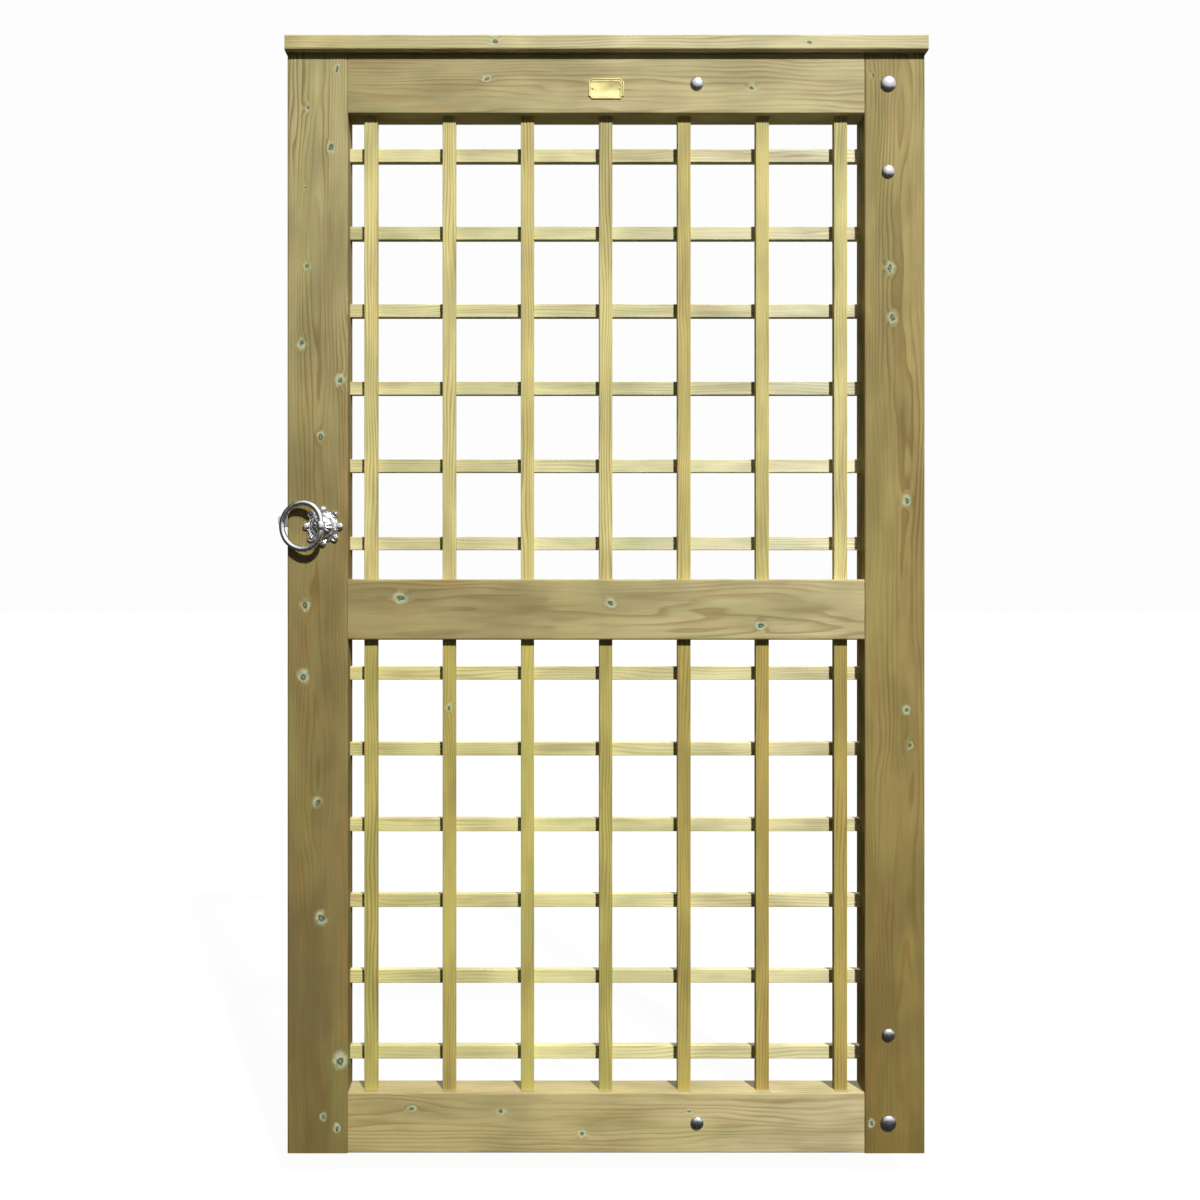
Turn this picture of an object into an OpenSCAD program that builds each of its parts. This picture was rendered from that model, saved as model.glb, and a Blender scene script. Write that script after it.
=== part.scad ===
// Garden gate: a framed softwood leaf with two trellis panels, a capping rail,
// hook-and-band hinges and a ring latch. It is modelled hung and shut.
//
// X runs along the gate from its latch side to its hinge side, Y from its front face
// to its back, and Z up. The modules draw the gate in the leaf's own place, where the
// leaf's latch-side, front, bottom corner is zero. The module "hung" then moves it, so
// that the origin is the centre of the lower hook plate's screw holes, on the post.

/* [Leaf] */
// Width of the leaf over its stiles
leaf_w = 1000; // [800:5:1300]
// Height of the leaf over its capping rail
leaf_h = 1750; // [1400:5:2150]
// Thickness of the stiles and rails
leaf_t = 45; // [38:1:60]
// Width of the face of each stile and rail
member_w = 95; // [80:1:115]
// Radius of the eased edges of the stiles and rails
arris_r = 3; // [1:0.5:5]
// Height of the middle rail's lower edge
middle_rail_z = 805; // [650:5:980]
// Thickness of the capping rail
cap_h = 25; // [18:1:35]
// Overhang of the capping rail at the front and at the back
cap_lip = 11; // [5:1:11]
// Overhang of the capping rail at each end
cap_end = 2; // [0:1:10]
// Radius of the capping rail's eased edges
cap_arris_r = 4; // [1:0.5:5]

/* [Tenons] */
// Thickness of the tenons
tenon_t = 15; // [12:1:20]
// Height of the tenons
tenon_h = 65; // [50:1:70]
// Length of the wedges beside each tenon
wedge_len = 55; // [35:1:65]
// Thickness of the wedges at their thick end
wedge_t = 6; // [3:0.5:9]

/* [Trellis] */
// Number of uprights in each panel
upright_count = 7; // [4:1:8]
// Number of crossbars in each panel
crossbar_count = 6; // [4:1:7]
// Width of each lath
lath_w = 21; // [16:1:26]
// Thickness of each lath
lath_t = 12; // [9:0.5:15]
// Radius of the eased edges of the laths
lath_arris_r = 1; // [0.5:0.25:2]
// Depth of each lath's end in its stile or rail
lath_stub = 10; // [6:1:15]
// From a stile to the centre line of the nearest upright
upright_margin = 34.5; // [20:0.5:60]
// From a rail to the centre line of the nearest crossbar, upper panel
upper_margin = 57; // [30:0.5:80]
// From a rail to the centre line of the nearest crossbar, lower panel
lower_margin = 54; // [30:0.5:80]
// Diameter of the pin at each crossing of two laths
pin_d = 1.8; // [1.4:0.1:2.5]
// Depth of each pin in its upright
pin_bite = 8; // [5:0.5:8.5]

/* [Hinges] */
// Width of the hinge bands, which is also the height of their eyes
band_w = 40; // [30:1:50]
// Thickness of the hinge bands
band_t = 5; // [4:0.5:6]
// Diameter of the hook pins
hook_pin_d = 12; // [10:0.5:14]
// Radial clearance of a hook pin in its eye
hook_clear = 0.08; // [0.02:0.01:0.1]
// Wall of the eye around its bore
eye_wall = 4.9; // [4:0.1:6]
// From the hinge edge of the leaf to the centre line of the eyes
eye_inset = 12; // [12:0.5:20]
// Gap between an eye and the back of the leaf
eye_gap = 1; // [0.5:0.25:2]
// Vertical gap between an eye and the shoulder that it turns on
shoulder_gap = 0.3; // [0.1:0.1:1]
// Thickness of the hook plates
plate_t = 6; // [5:0.5:8]
// Width of the hook plates
plate_w = 60; // [50:1:70]
// Space between an eye and the face of its hook plate
plate_gap = 4; // [4:0.5:12]
// Distance between a hook plate's two columns of screw holes
plate_hole_x = 20; // [16:1:30]
// Distance between a hook plate's two rows of screw holes
plate_hole_z = 96; // [80:1:120]
// Diameter of the screw holes in the hook plates
plate_hole_d = 7; // [6:0.5:9]
// From the last row of holes to the end of the hook plate
plate_hole_edge = 12; // [10:1:20]
// Height of each hook's arm
arm_h = 24; // [18:1:30]
// From the hinge edge of the leaf to the corner bolts
bolt_inset = 57.5; // [45:0.5:65]
// From a corner bolt to the bolt in the rail
rail_bolt_run = 300; // [200:5:350]
// From a corner bolt to the bolt in the stile
stile_bolt_run = 138; // [110:1:200]
// Diameter of the corner bolts
corner_bolt_d = 10; // [8:1:12]
// Diameter of the bolts in the rails and the stile
band_bolt_d = 8; // [6:1:10]
// Clearance around a bolt, screw or pin, on its radius
hole_clear = 0.2; // [0.1:0.05:0.5]

/* [Ring latch] */
// From the latch edge of the leaf to the spindle
spindle_x = 56.4; // [50:0.1:60]
// Height of the spindle
spindle_z = 983; // [950:1:1250]
// Side of the square spindle
spindle_side = 8; // [6:0.5:10]
// Diameter of the bar that the ring is bent from
ring_bar_d = 9; // [7:0.5:11]
// Radius of the centre line of the ring's outer half
ring_r = 36; // [30:0.5:42]
// Length of the ring's straight stretch, which its lug holds
ring_pin_len = 14; // [12:0.5:20]
// From the front of the leaf to the ring's pivot
ring_standoff = 20; // [18:0.5:26]
// How far the ring leans back from the plane of the leaf, in degrees
ring_lean = 13; // [0:0.5:13.5]
// Radius of the circle on which the rose's petals lie
petal_circle_r = 26.6; // [24:0.1:28]
// Radius of each petal of the rose
petal_r = 5.3; // [4.5:0.1:6]
// Thickness of the front and rear roses
rose_t = 3; // [2:0.5:3.5]
// Radius of the boss that carries the ring
boss_r = 18; // [12:0.5:19]
// Radius of the journals that turn in the roses
journal_r = 9; // [7.5:0.5:10]
// Radial clearance of the journals and of the ring in its lug
run_clear = 0.08; // [0.02:0.01:0.1]
// Gap between faces that turn past each other
face_gap = 0.3; // [0.2:0.05:0.6]
// Radius of the rear rose
rear_rose_r = 22; // [20:0.5:26]
// Depth of the latch bar's blade
blade_h = 17; // [12:0.5:20]
// Thickness of the latch bar
blade_t = 6; // [5:0.5:8]
// Height of the blade's lower edge above the spindle
blade_rise = 1.5; // [0:0.5:3]
// How far the blade reaches past the latch edge of the leaf
blade_reach = 26; // [15:1:35]
// Length of the thumb tail behind the spindle
tail_len = 34; // [20:1:36]
// How far the latch turns to lift its bar, in degrees
lift = 24; // [15:1:26]
// From the latch edge of the leaf to the middle of the bar guide
guide_x = 17; // [14:1:20]
// Width of the bar guide
guide_w = 16; // [12:1:20]
// Thickness of the bar guide's strip
guide_t = 3; // [2:0.5:4]
// Length of each foot of the bar guide
foot_len = 17; // [14:1:25]

/* [Plaque] */
// Width of the plaque
plaque_w = 55.5; // [40:0.5:80]
// Height of the plaque
plaque_h = 32; // [24:0.5:50]
// Thickness of the plaque inside its border
plaque_t = 1; // [0.8:0.1:2]
// Radius of the plaque's hollow corners
plaque_notch_r = 4.5; // [3:0.5:6]
// Width of the plaque's raised border
border_w = 2; // [1:0.25:3]
// Height of the plaque's raised border
border_h = 0.5; // [0.3:0.1:1]
// Height of the plaque's centre above the lower edge of the top rail
plaque_rise = 39; // [30:1:60]

/* [Hidden] */
$fn = 48;

// Colours of the finishes
frame_timber = [0.66, 0.60, 0.38];
cap_timber = [0.76, 0.71, 0.50];
upright_timber = [0.81, 0.75, 0.47];
crossbar_timber = [0.80, 0.76, 0.56];
wedge_timber = [0.55, 0.48, 0.30];
zinc = [0.72, 0.73, 0.74];
dark_zinc = [0.55, 0.56, 0.57];
plaque_brass = [0.86, 0.78, 0.48];

// The leaf
panel_w = leaf_w - 2 * member_w;
frame_h = leaf_h - cap_h;
top_rail_z = frame_h - member_w;
lower_panel = [member_w, middle_rail_z];
upper_panel = [middle_rail_z + member_w, top_rail_z];
tenon_y = (leaf_t - tenon_t) / 2;
slack = 1;

// The trellis: crossbars stand directly behind the uprights, and the pair is centred
upright_y = leaf_t / 2 - lath_t;
crossbar_y = leaf_t / 2;
upright_pitch = (panel_w - 2 * upright_margin) / (upright_count - 1);
pin_head_r = pin_d;
pin_head_t = 0.8;
pin_clear = 0.05;

// The hinges
eye_r = hook_pin_d / 2 + hook_clear + eye_wall;
axis_x = leaf_w - eye_inset;
axis_y = leaf_t + eye_gap + eye_r;
post_y = axis_y + eye_r + plate_gap + plate_t;
plate_right = axis_x + 10;
plate_mid_x = plate_right - plate_w + 9 + plate_hole_x / 2;
plate_h = plate_hole_z + 2 * plate_hole_edge;
row_to_shoulder = 12;
lower_band_z = member_w / 2;
upper_band_z = top_rail_z + member_w / 2;
lower_shoulder = lower_band_z - band_w / 2 - shoulder_gap;
upper_shoulder = upper_band_z - band_w / 2 - shoulder_gap;
lower_plate_z = lower_shoulder - row_to_shoulder + plate_hole_z / 2;
upper_plate_z = upper_shoulder + row_to_shoulder - plate_hole_z / 2;
hook_pin_top = band_w + shoulder_gap + 5;
arm_w = 16;
boss_wall = 4;
pin_chamfer = 1.5;

// The bolts: a cup head's and a nut's radius and height follow the diameter
function cup_r(d) = 1.05 * d + 2;
function cup_h(d) = 0.3 * d + 2.5;
function nut_r(d) = 0.95 * d;
function nut_h(d) = 0.8 * d;
corner_x = leaf_w - bolt_inset;
rail_bolt_x = corner_x - rail_bolt_run;
corner_bolt_places = [[corner_x, lower_band_z], [corner_x, upper_band_z]];
band_bolt_places = [
    [rail_bolt_x, lower_band_z],
    [rail_bolt_x, upper_band_z],
    [corner_x, lower_band_z + stile_bolt_run],
    [corner_x, upper_band_z - stile_bolt_run]
];
washer_t = 2;
bolt_tail = 3;

// The ring latch
spindle = [spindle_x, spindle_z];
grip_r = ring_r - ring_pin_len / 2;
lug_len = ring_pin_len - 2 * face_gap;
lug_wall = 2.7;
bore_r = ring_bar_d / 2 + run_clear;
flange_t = 5;
dome_rise = 5.6;
dome_r = boss_r - 1.2;
flute_count = 12;
flute_r = 2.4;
boss_back_y = -rose_t - face_gap;
dome_y = boss_back_y - flange_t;
spindle_hole_r = 7;
spindle_clear = 0.1;
bar_y = leaf_t + rose_t + face_gap;
spindle_front_y = dome_y;
spindle_back_y = bar_y + blade_t - face_gap;
hub_r = 14;
petal_count = 8;
rose_disc_r = petal_circle_r - 2;
rose_screw_d = 3.5;
rose_screw_len = 20;
rear_screw_r = rear_rose_r - 5;
countersink = 2;
bar_screw_d = 5;

// The guide is open just far enough for the blade's upper edge at full lift
guide_far = spindle_x - guide_x + guide_w / 2;
blade_top = blade_rise + blade_h;
guide_low = spindle_z + blade_rise - face_gap;
guide_high = spindle_z + guide_far * tan(lift) + blade_top / cos(lift) + face_gap;
guide_in_y = bar_y + blade_t + 2 * face_gap;
guide_out_y = guide_in_y + guide_t;
guide_screw_d = 4;
guide_screw_len = 22;
guide_screw_zs = [guide_low - guide_t - foot_len / 2, guide_high + guide_t + foot_len / 2];

// The plaque
plaque_x = leaf_w / 2;
plaque_z = top_rail_z + plaque_rise;
plaque_pin_d = 1.8;
plaque_pin_len = 12;
plaque_pin_x = plaque_w / 2 - plaque_notch_r - border_w;

// The screws of the capping rail
cap_screw_d = 4.5;
cap_screw_len = 60;
cap_screw_xs = [member_w / 2, leaf_w / 3, 2 * leaf_w / 3, leaf_w - member_w / 2];

uprights = [for (i = [1 : upright_count]) i];
crossbars = [for (i = [1 : crossbar_count]) i];

// ---- Places ----

function upright_x(i) = member_w + upright_margin + (i - 1) * upright_pitch;

function crossbar_z(panel, margin, i) =
    panel[0] + margin + (i - 1) * (panel[1] - panel[0] - 2 * margin) / (crossbar_count - 1);

// Everything stands where the gate hangs on its post
module hung() {
    translate([-plate_mid_x, -post_y, -lower_plate_z])
        children();
}

// ---- Shapes that several pieces share ----

// A rectangle with eased corners, from its lower left corner
module eased_rect(w, h, r) {
    translate([r, 0])
        square([w - 2 * r, h]);
    translate([0, r])
        square([w, h - 2 * r]);
    for (x = [r, w - r], y = [r, h - r])
        translate([x, y])
            circle(r);
}

// An outline drawn as seen from the front, given a thickness from y to y + t
module facing(y, t) {
    translate([0, y + t, 0])
        rotate([90, 0, 0])
            linear_extrude(t)
                children();
}

// An outline drawn across the gate, given a length along it from x to x + w
module across(x, w) {
    translate([x, 0, 0])
        rotate([90, 0, 90])
            linear_extrude(w)
                children();
}

// A round bar along Y at a place on the leaf's face, from y to y + t
module rod(place, r, y, t) {
    translate([place[0], y + t, place[1]])
        rotate([90, 0, 0])
            cylinder(r = r, h = t);
}

// A cone along Y, of radius r1 at y and r2 at y + t
module taper(place, r1, r2, y, t) {
    translate([place[0], y + t, place[1]])
        rotate([90, 0, 0])
            cylinder(r1 = r2, r2 = r1, h = t);
}

// A shallow dome on a face at y, bulging by h towards the front (side -1) or back (side 1)
module dome(place, r, h, y, side) {
    sphere_r = (r * r + h * h) / (2 * h);
    intersection() {
        translate([place[0], y + side * (h - sphere_r), place[1]])
            sphere(sphere_r, $fn = 64);
        rod(place, r, side > 0 ? y : y - h - slack, h + slack);
    }
}

// ---- Frame ----

// The mortise of a rail in one stile, flared at the outside for its wedges
module mortise(rail_z, side) {
    z = rail_z + (member_w - tenon_h) / 2;
    x = side < 0 ? -slack : leaf_w - member_w - slack;
    translate([x, tenon_y, z])
        cube([member_w + 2 * slack, tenon_t, tenon_h]);
    wedge_pair(rail_z, side);
}

// Two wedges, above and below a tenon, with their thick ends at the leaf's edge
module wedge_pair(rail_z, side) {
    middle = rail_z + member_w / 2;
    edge = side < 0 ? 0 : leaf_w;
    for (up = [-1, 1])
        facing(tenon_y, tenon_t)
            polygon([
                [edge, middle + up * tenon_h / 2],
                [edge, middle + up * (tenon_h / 2 + wedge_t)],
                [edge - side * wedge_len, middle + up * tenon_h / 2]
            ]);
}

module frame_rail(rail_z) {
    across(member_w, panel_w)
        translate([0, rail_z])
            eased_rect(leaf_t, member_w, arris_r);
    translate([0, tenon_y, rail_z + (member_w - tenon_h) / 2])
        cube([leaf_w, tenon_t, tenon_h]);
}

// The sockets of all uprights of a panel, in the rails above and below it
module upright_sockets(panel) {
    for (i = uprights)
        translate([upright_x(i) - lath_w / 2, upright_y, panel[0] - lath_stub])
            cube([lath_w, lath_t, panel[1] - panel[0] + 2 * lath_stub]);
}

// The sockets of all crossbars of a panel, in the stiles beside it
module crossbar_sockets(panel, margin) {
    for (i = crossbars)
        translate([member_w - lath_stub, crossbar_y, crossbar_z(panel, margin, i) - lath_w / 2])
            cube([panel_w + 2 * lath_stub, lath_t, lath_w]);
}

module stile(side) {
    x = side < 0 ? 0 : leaf_w - member_w;
    difference() {
        translate([x, 0, 0])
            linear_extrude(frame_h)
                eased_rect(member_w, leaf_t, arris_r);
        for (z = [0, middle_rail_z, top_rail_z])
            mortise(z, side);
        crossbar_sockets(upper_panel, upper_margin);
        crossbar_sockets(lower_panel, lower_margin);
        cap_screw_holes();
        children();
    }
}

module latch_stile() {
    color(frame_timber)
        stile(-1) {
            rod(spindle, spindle_hole_r, -slack, leaf_t + 2 * slack);
            screw_holes(rose_screw_places(), rose_screw_d, 0, rose_screw_len);
            screw_holes(rear_screw_places(), rose_screw_d, leaf_t - rose_screw_len, rose_screw_len);
            screw_holes(guide_screw_places(), guide_screw_d, leaf_t - guide_screw_len, guide_screw_len);
        }
}

module hanging_stile() {
    color(frame_timber)
        stile(1)
            bolt_holes();
}

module top_rail() {
    color(frame_timber)
        difference() {
            frame_rail(top_rail_z);
            upright_sockets(upper_panel);
            bolt_holes();
            cap_screw_holes();
            screw_holes(plaque_pin_places(), plaque_pin_d, 0, plaque_pin_len);
        }
}

module middle_rail() {
    color(frame_timber)
        difference() {
            frame_rail(middle_rail_z);
            upright_sockets(upper_panel);
            upright_sockets(lower_panel);
        }
}

module bottom_rail() {
    color(frame_timber)
        difference() {
            frame_rail(0);
            upright_sockets(lower_panel);
            bolt_holes();
        }
}

module tenon_wedges() {
    color(wedge_timber)
        difference() {
            for (z = [0, middle_rail_z, top_rail_z], side = [-1, 1])
                wedge_pair(z, side);
            cap_screw_holes();
        }
}

module cap_rail() {
    color(cap_timber)
        difference() {
            across(-cap_end, leaf_w + 2 * cap_end)
                translate([-cap_lip, frame_h])
                    eased_rect(leaf_t + 2 * cap_lip, cap_h, cap_arris_r);
            cap_screw_holes();
            for (x = cap_screw_xs)
                translate([x, leaf_t / 2, leaf_h - cap_screw_d / 2])
                    cylinder(r1 = cap_screw_d / 2 + hole_clear, r2 = cap_screw_d + hole_clear,
                             h = cap_screw_d / 2);
        }
}

module cap_screw_holes() {
    for (x = cap_screw_xs)
        translate([x, leaf_t / 2, leaf_h - cap_screw_len - hole_clear])
            cylinder(d = cap_screw_d + 2 * hole_clear, h = cap_screw_len + slack);
}

module cap_screws() {
    color(dark_zinc)
        for (x = cap_screw_xs)
            translate([x, leaf_t / 2, leaf_h]) {
                translate([0, 0, -cap_screw_len])
                    cylinder(d = cap_screw_d, h = cap_screw_len - cap_screw_d / 4);
                translate([0, 0, -cap_screw_d / 2 - hole_clear])
                    cylinder(r1 = cap_screw_d / 2, r2 = cap_screw_d, h = cap_screw_d / 2);
            }
}

// ---- Trellis ----

function pin_places(panel, margin) =
    [for (i = uprights, j = crossbars) [upright_x(i), crossbar_z(panel, margin, j)]];

module pin_holes(places) {
    for (p = places)
        rod(p, pin_d / 2 + pin_clear, crossbar_y - pin_bite - hole_clear, lath_t + pin_bite + slack);
}

module upright(i, panel, margin) {
    x = upright_x(i);
    color(upright_timber)
        difference() {
            translate([x - lath_w / 2, upright_y, panel[0] - lath_stub])
                linear_extrude(panel[1] - panel[0] + 2 * lath_stub)
                    eased_rect(lath_w, lath_t, lath_arris_r);
            pin_holes([for (j = crossbars) [x, crossbar_z(panel, margin, j)]]);
        }
}

module crossbar(j, panel, margin) {
    z = crossbar_z(panel, margin, j);
    color(crossbar_timber)
        difference() {
            across(member_w - lath_stub, panel_w + 2 * lath_stub)
                translate([crossbar_y, z - lath_w / 2])
                    eased_rect(lath_t, lath_w, lath_arris_r);
            pin_holes([for (i = uprights) [upright_x(i), z]]);
        }
}

module trellis_pins(panel, margin) {
    color(dark_zinc)
        for (p = pin_places(panel, margin)) {
            rod(p, pin_d / 2, crossbar_y - pin_bite, lath_t + pin_bite);
            rod(p, pin_head_r, crossbar_y + lath_t, pin_head_t);
        }
}

module upper_trellis_pins() {
    trellis_pins(upper_panel, upper_margin);
}

module lower_trellis_pins() {
    trellis_pins(lower_panel, lower_margin);
}

// ---- Plaque ----

function plaque_pin_places() = [for (s = [-1, 1]) [plaque_x + s * plaque_pin_x, plaque_z]];

// A plate with hollow corners, drawn smaller all round by inset
module plaque_outline(inset) {
    translate([plaque_x, plaque_z])
        difference() {
            square([plaque_w - 2 * inset, plaque_h - 2 * inset], center = true);
            for (x = [-1, 1], y = [-1, 1])
                translate([x * plaque_w / 2, y * plaque_h / 2])
                    circle(plaque_notch_r + inset);
        }
}

module plaque() {
    color(plaque_brass)
        difference() {
            facing(-plaque_t - border_h, plaque_t + border_h)
                plaque_outline(0);
            facing(-plaque_t - border_h - slack, border_h + slack)
                plaque_outline(border_w);
            screw_holes(plaque_pin_places(), plaque_pin_d, -plaque_t - slack, plaque_t + 2 * slack);
        }
}

module plaque_pins() {
    color(plaque_brass)
        for (p = plaque_pin_places()) {
            rod(p, plaque_pin_d / 2, -plaque_t, plaque_pin_len + plaque_t);
            dome(p, plaque_pin_d, 0.8, -plaque_t, -1);
        }
}

// ---- Fasteners ----

module screw_holes(places, d, y, length) {
    for (p = places)
        rod(p, d / 2 + hole_clear, y - hole_clear, length + 2 * hole_clear);
}

// A round-headed screw or nail, driven from the front (side -1) or the back (side 1) of the leaf
module round_screws(places, d, length, y, side) {
    for (p = places) {
        rod(p, d / 2, side < 0 ? y : y - length, length);
        dome(p, d * 0.95, d * 0.5, y, side);
    }
}

// The bores of all bolts, with the sockets of their square necks
module bolt_holes() {
    for (p = corner_bolt_places)
        bolt_hole(p, corner_bolt_d);
    for (p = band_bolt_places)
        bolt_hole(p, band_bolt_d);
}

module bolt_hole(place, d) {
    rod(place, d / 2 + hole_clear, -slack, leaf_t + band_t + 2 * slack);
    neck(place, d, d + 2 * hole_clear);
}

module neck(place, d, side) {
    translate([place[0] - side / 2, 0, place[1] - side / 2])
        cube([side, d / 2, side]);
}

// A cup-headed bolt: its dome stands in front, and its thread passes the band, washer and nut
module cup_bolt(place, d) {
    dome(place, cup_r(d), cup_h(d), 0, -1);
    neck(place, d, d);
    rod(place, d / 2, 0, leaf_t + band_t + washer_t + nut_h(d) + bolt_tail);
}

module washer(place, d) {
    y = leaf_t + band_t;
    difference() {
        rod(place, d, y, washer_t);
        rod(place, d / 2 + hole_clear, y - slack, washer_t + 2 * slack);
    }
}

module nut(place, d) {
    y = leaf_t + band_t + washer_t;
    difference() {
        facing(y, nut_h(d))
            translate(place)
                circle(nut_r(d), $fn = 6);
        rod(place, d / 2 + hole_clear, y - slack, nut_h(d) + 2 * slack);
    }
}

module corner_bolts() {
    color(zinc)
        for (p = corner_bolt_places)
            cup_bolt(p, corner_bolt_d);
}

module corner_washers() {
    color(zinc)
        for (p = corner_bolt_places)
            washer(p, corner_bolt_d);
}

module corner_nuts() {
    color(zinc)
        for (p = corner_bolt_places)
            nut(p, corner_bolt_d);
}

module band_bolts() {
    color(zinc)
        for (p = band_bolt_places)
            cup_bolt(p, band_bolt_d);
}

module band_washers() {
    color(zinc)
        for (p = band_bolt_places)
            washer(p, band_bolt_d);
}

module band_nuts() {
    color(zinc)
        for (p = band_bolt_places)
            nut(p, band_bolt_d);
}

// ---- Hinges ----

// An L-shaped band behind the corner: one leg on the rail, one on the stile, and the eye
module hinge_band(band_z, up) {
    half = band_w / 2;
    leg_z = band_z + up * stile_bolt_run;
    difference() {
        union() {
            facing(leaf_t, band_t) {
                translate([rail_bolt_x, band_z - half])
                    square([axis_x - rail_bolt_x, band_w]);
                translate([rail_bolt_x, band_z])
                    circle(half);
                translate([corner_x - half, min(band_z, leg_z)])
                    square([band_w, stile_bolt_run]);
                translate([corner_x, leg_z])
                    circle(half);
            }
            translate([axis_x, axis_y, band_z - half])
                cylinder(r = eye_r, h = band_w);
        }
        translate([axis_x, axis_y, band_z - half - slack])
            cylinder(d = hook_pin_d + 2 * hook_clear, h = band_w + 2 * slack);
        bolt_holes();
    }
}

module upper_hinge_band() {
    color(zinc)
        hinge_band(upper_band_z, -1);
}

module lower_hinge_band() {
    color(zinc)
        hinge_band(lower_band_z, 1);
}

// A hook: a plate screwed to the post, and an arm with a pin that stands up in the eye
module hinge_hook(shoulder, plate_z) {
    difference() {
        union() {
            translate([plate_right - plate_w, post_y - plate_t, plate_z - plate_h / 2])
                cube([plate_w, plate_t, plate_h]);
            translate([axis_x - arm_w / 2, axis_y, shoulder - arm_h])
                cube([arm_w, post_y - plate_t - axis_y + slack, arm_h]);
            translate([axis_x, axis_y, shoulder - arm_h])
                cylinder(r = hook_pin_d / 2 + boss_wall, h = arm_h);
            translate([axis_x, axis_y, shoulder - slack])
                cylinder(d = hook_pin_d, h = hook_pin_top + slack - pin_chamfer);
            translate([axis_x, axis_y, shoulder + hook_pin_top - pin_chamfer])
                cylinder(d1 = hook_pin_d, d2 = hook_pin_d - 2 * pin_chamfer, h = pin_chamfer);
        }
        for (x = [-1, 1], z = [-1, 1])
            rod([plate_mid_x + x * plate_hole_x / 2, plate_z + z * plate_hole_z / 2],
                plate_hole_d / 2, post_y - plate_t - slack, plate_t + 2 * slack);
    }
}

module upper_hinge_hook() {
    color(zinc)
        hinge_hook(upper_shoulder, upper_plate_z);
}

module lower_hinge_hook() {
    color(zinc)
        hinge_hook(lower_shoulder, lower_plate_z);
}

// ---- Ring latch ----

function around_spindle(r, angle) = spindle + r * [cos(angle), sin(angle)];

function rose_screw_places() = [for (a = [45 : 90 : 315]) around_spindle(petal_circle_r, a)];

function rear_screw_places() = [for (a = [45 : 90 : 315]) around_spindle(rear_screw_r, a)];

function guide_screw_places() = [for (z = guide_screw_zs) [guide_x, z]];

module front_rose() {
    color(zinc)
        difference() {
            facing(-rose_t, rose_t) {
                translate(spindle)
                    circle(rose_disc_r);
                for (i = [1 : petal_count])
                    translate(around_spindle(petal_circle_r, i * 360 / petal_count))
                        circle(petal_r);
            }
            rod(spindle, journal_r + run_clear, -rose_t - slack, rose_t + 2 * slack);
            screw_holes(rose_screw_places(), rose_screw_d, -rose_t - slack, rose_t + 2 * slack);
        }
}

module rose_screws() {
    color(dark_zinc)
        round_screws(rose_screw_places(), rose_screw_d, rose_screw_len + rose_t, -rose_t, -1);
}

// The boss: a journal in the rose, a fluted flange, a dome and the lug for the ring
module ring_boss() {
    color(zinc)
        difference() {
            union() {
                rod(spindle, journal_r, boss_back_y - slack, rose_t + slack);
                rod(spindle, boss_r, dome_y, flange_t);
                dome(spindle, dome_r, dome_rise, dome_y, -1);
                translate([spindle_x, -ring_standoff, spindle_z - lug_len / 2])
                    cylinder(r = bore_r + lug_wall, h = lug_len);
                translate([spindle_x - bore_r, -ring_standoff, spindle_z - lug_len / 2])
                    cube([2 * bore_r, ring_standoff + dome_y, lug_len]);
            }
            for (i = [1 : flute_count])
                rod(around_spindle(boss_r + flute_r / 2, (i + 0.5) * 360 / flute_count), flute_r,
                    dome_y - slack, flange_t - slack);
            translate([spindle_x, -ring_standoff, spindle_z - ring_pin_len])
                cylinder(r = bore_r, h = 2 * ring_pin_len);
            spindle_socket(spindle_front_y - spindle_clear, -boss_back_y + slack);
        }
}

// A square hole for the spindle, from y back to the rear of the boss
module spindle_socket(y, back) {
    side = spindle_side + 2 * spindle_clear;
    translate([spindle_x - side / 2, y, spindle_z - side / 2])
        cube([side, back - y, side]);
}

module spindle_bar() {
    color(dark_zinc)
        difference() {
            translate([spindle_x - spindle_side / 2, spindle_front_y, spindle_z - spindle_side / 2])
                cube([spindle_side, spindle_back_y - spindle_front_y, spindle_side]);
            rod(spindle, bar_screw_d / 2 + hole_clear, spindle_back_y - 15, 15 + slack);
        }
}

// The ring: one bar bent round and closed through the lug, leaning back to the stile
module ring() {
    color(zinc)
        translate([spindle_x, -ring_standoff, spindle_z])
            rotate([0, 0, -ring_lean])
                rotate([90, 0, 0]) {
                    translate([-grip_r, 0, 0])
                        rotate(90)
                            ring_bend(ring_r, 180);
                    translate([-grip_r, ring_pin_len / 2, 0])
                        ring_bend(grip_r, 90);
                    translate([-grip_r, -ring_pin_len / 2, 0])
                        rotate(-90)
                            ring_bend(grip_r, 90);
                    rotate([90, 0, 0])
                        cylinder(d = ring_bar_d, h = ring_pin_len, center = true);
                }
}

module ring_bend(r, angle) {
    rotate_extrude(angle = angle, $fn = 96)
        translate([r, 0])
            circle(d = ring_bar_d);
}

module rear_rose() {
    color(zinc)
        difference() {
            rod(spindle, rear_rose_r, leaf_t, rose_t);
            rod(spindle, journal_r + run_clear, leaf_t - slack, rose_t + 2 * slack);
            screw_holes(rear_screw_places(), rose_screw_d, leaf_t - slack, rose_t + 2 * slack);
            for (p = rear_screw_places())
                taper(p, rose_screw_d / 2 + hole_clear, rose_screw_d + hole_clear,
                      leaf_t + rose_t - countersink, countersink);
        }
}

module rear_rose_screws() {
    top = leaf_t + rose_t - hole_clear;
    color(dark_zinc)
        for (p = rear_screw_places()) {
            rod(p, rose_screw_d / 2, leaf_t - rose_screw_len, rose_screw_len + rose_t - countersink);
            taper(p, rose_screw_d / 2, rose_screw_d, top - countersink, countersink);
        }
}

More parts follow.
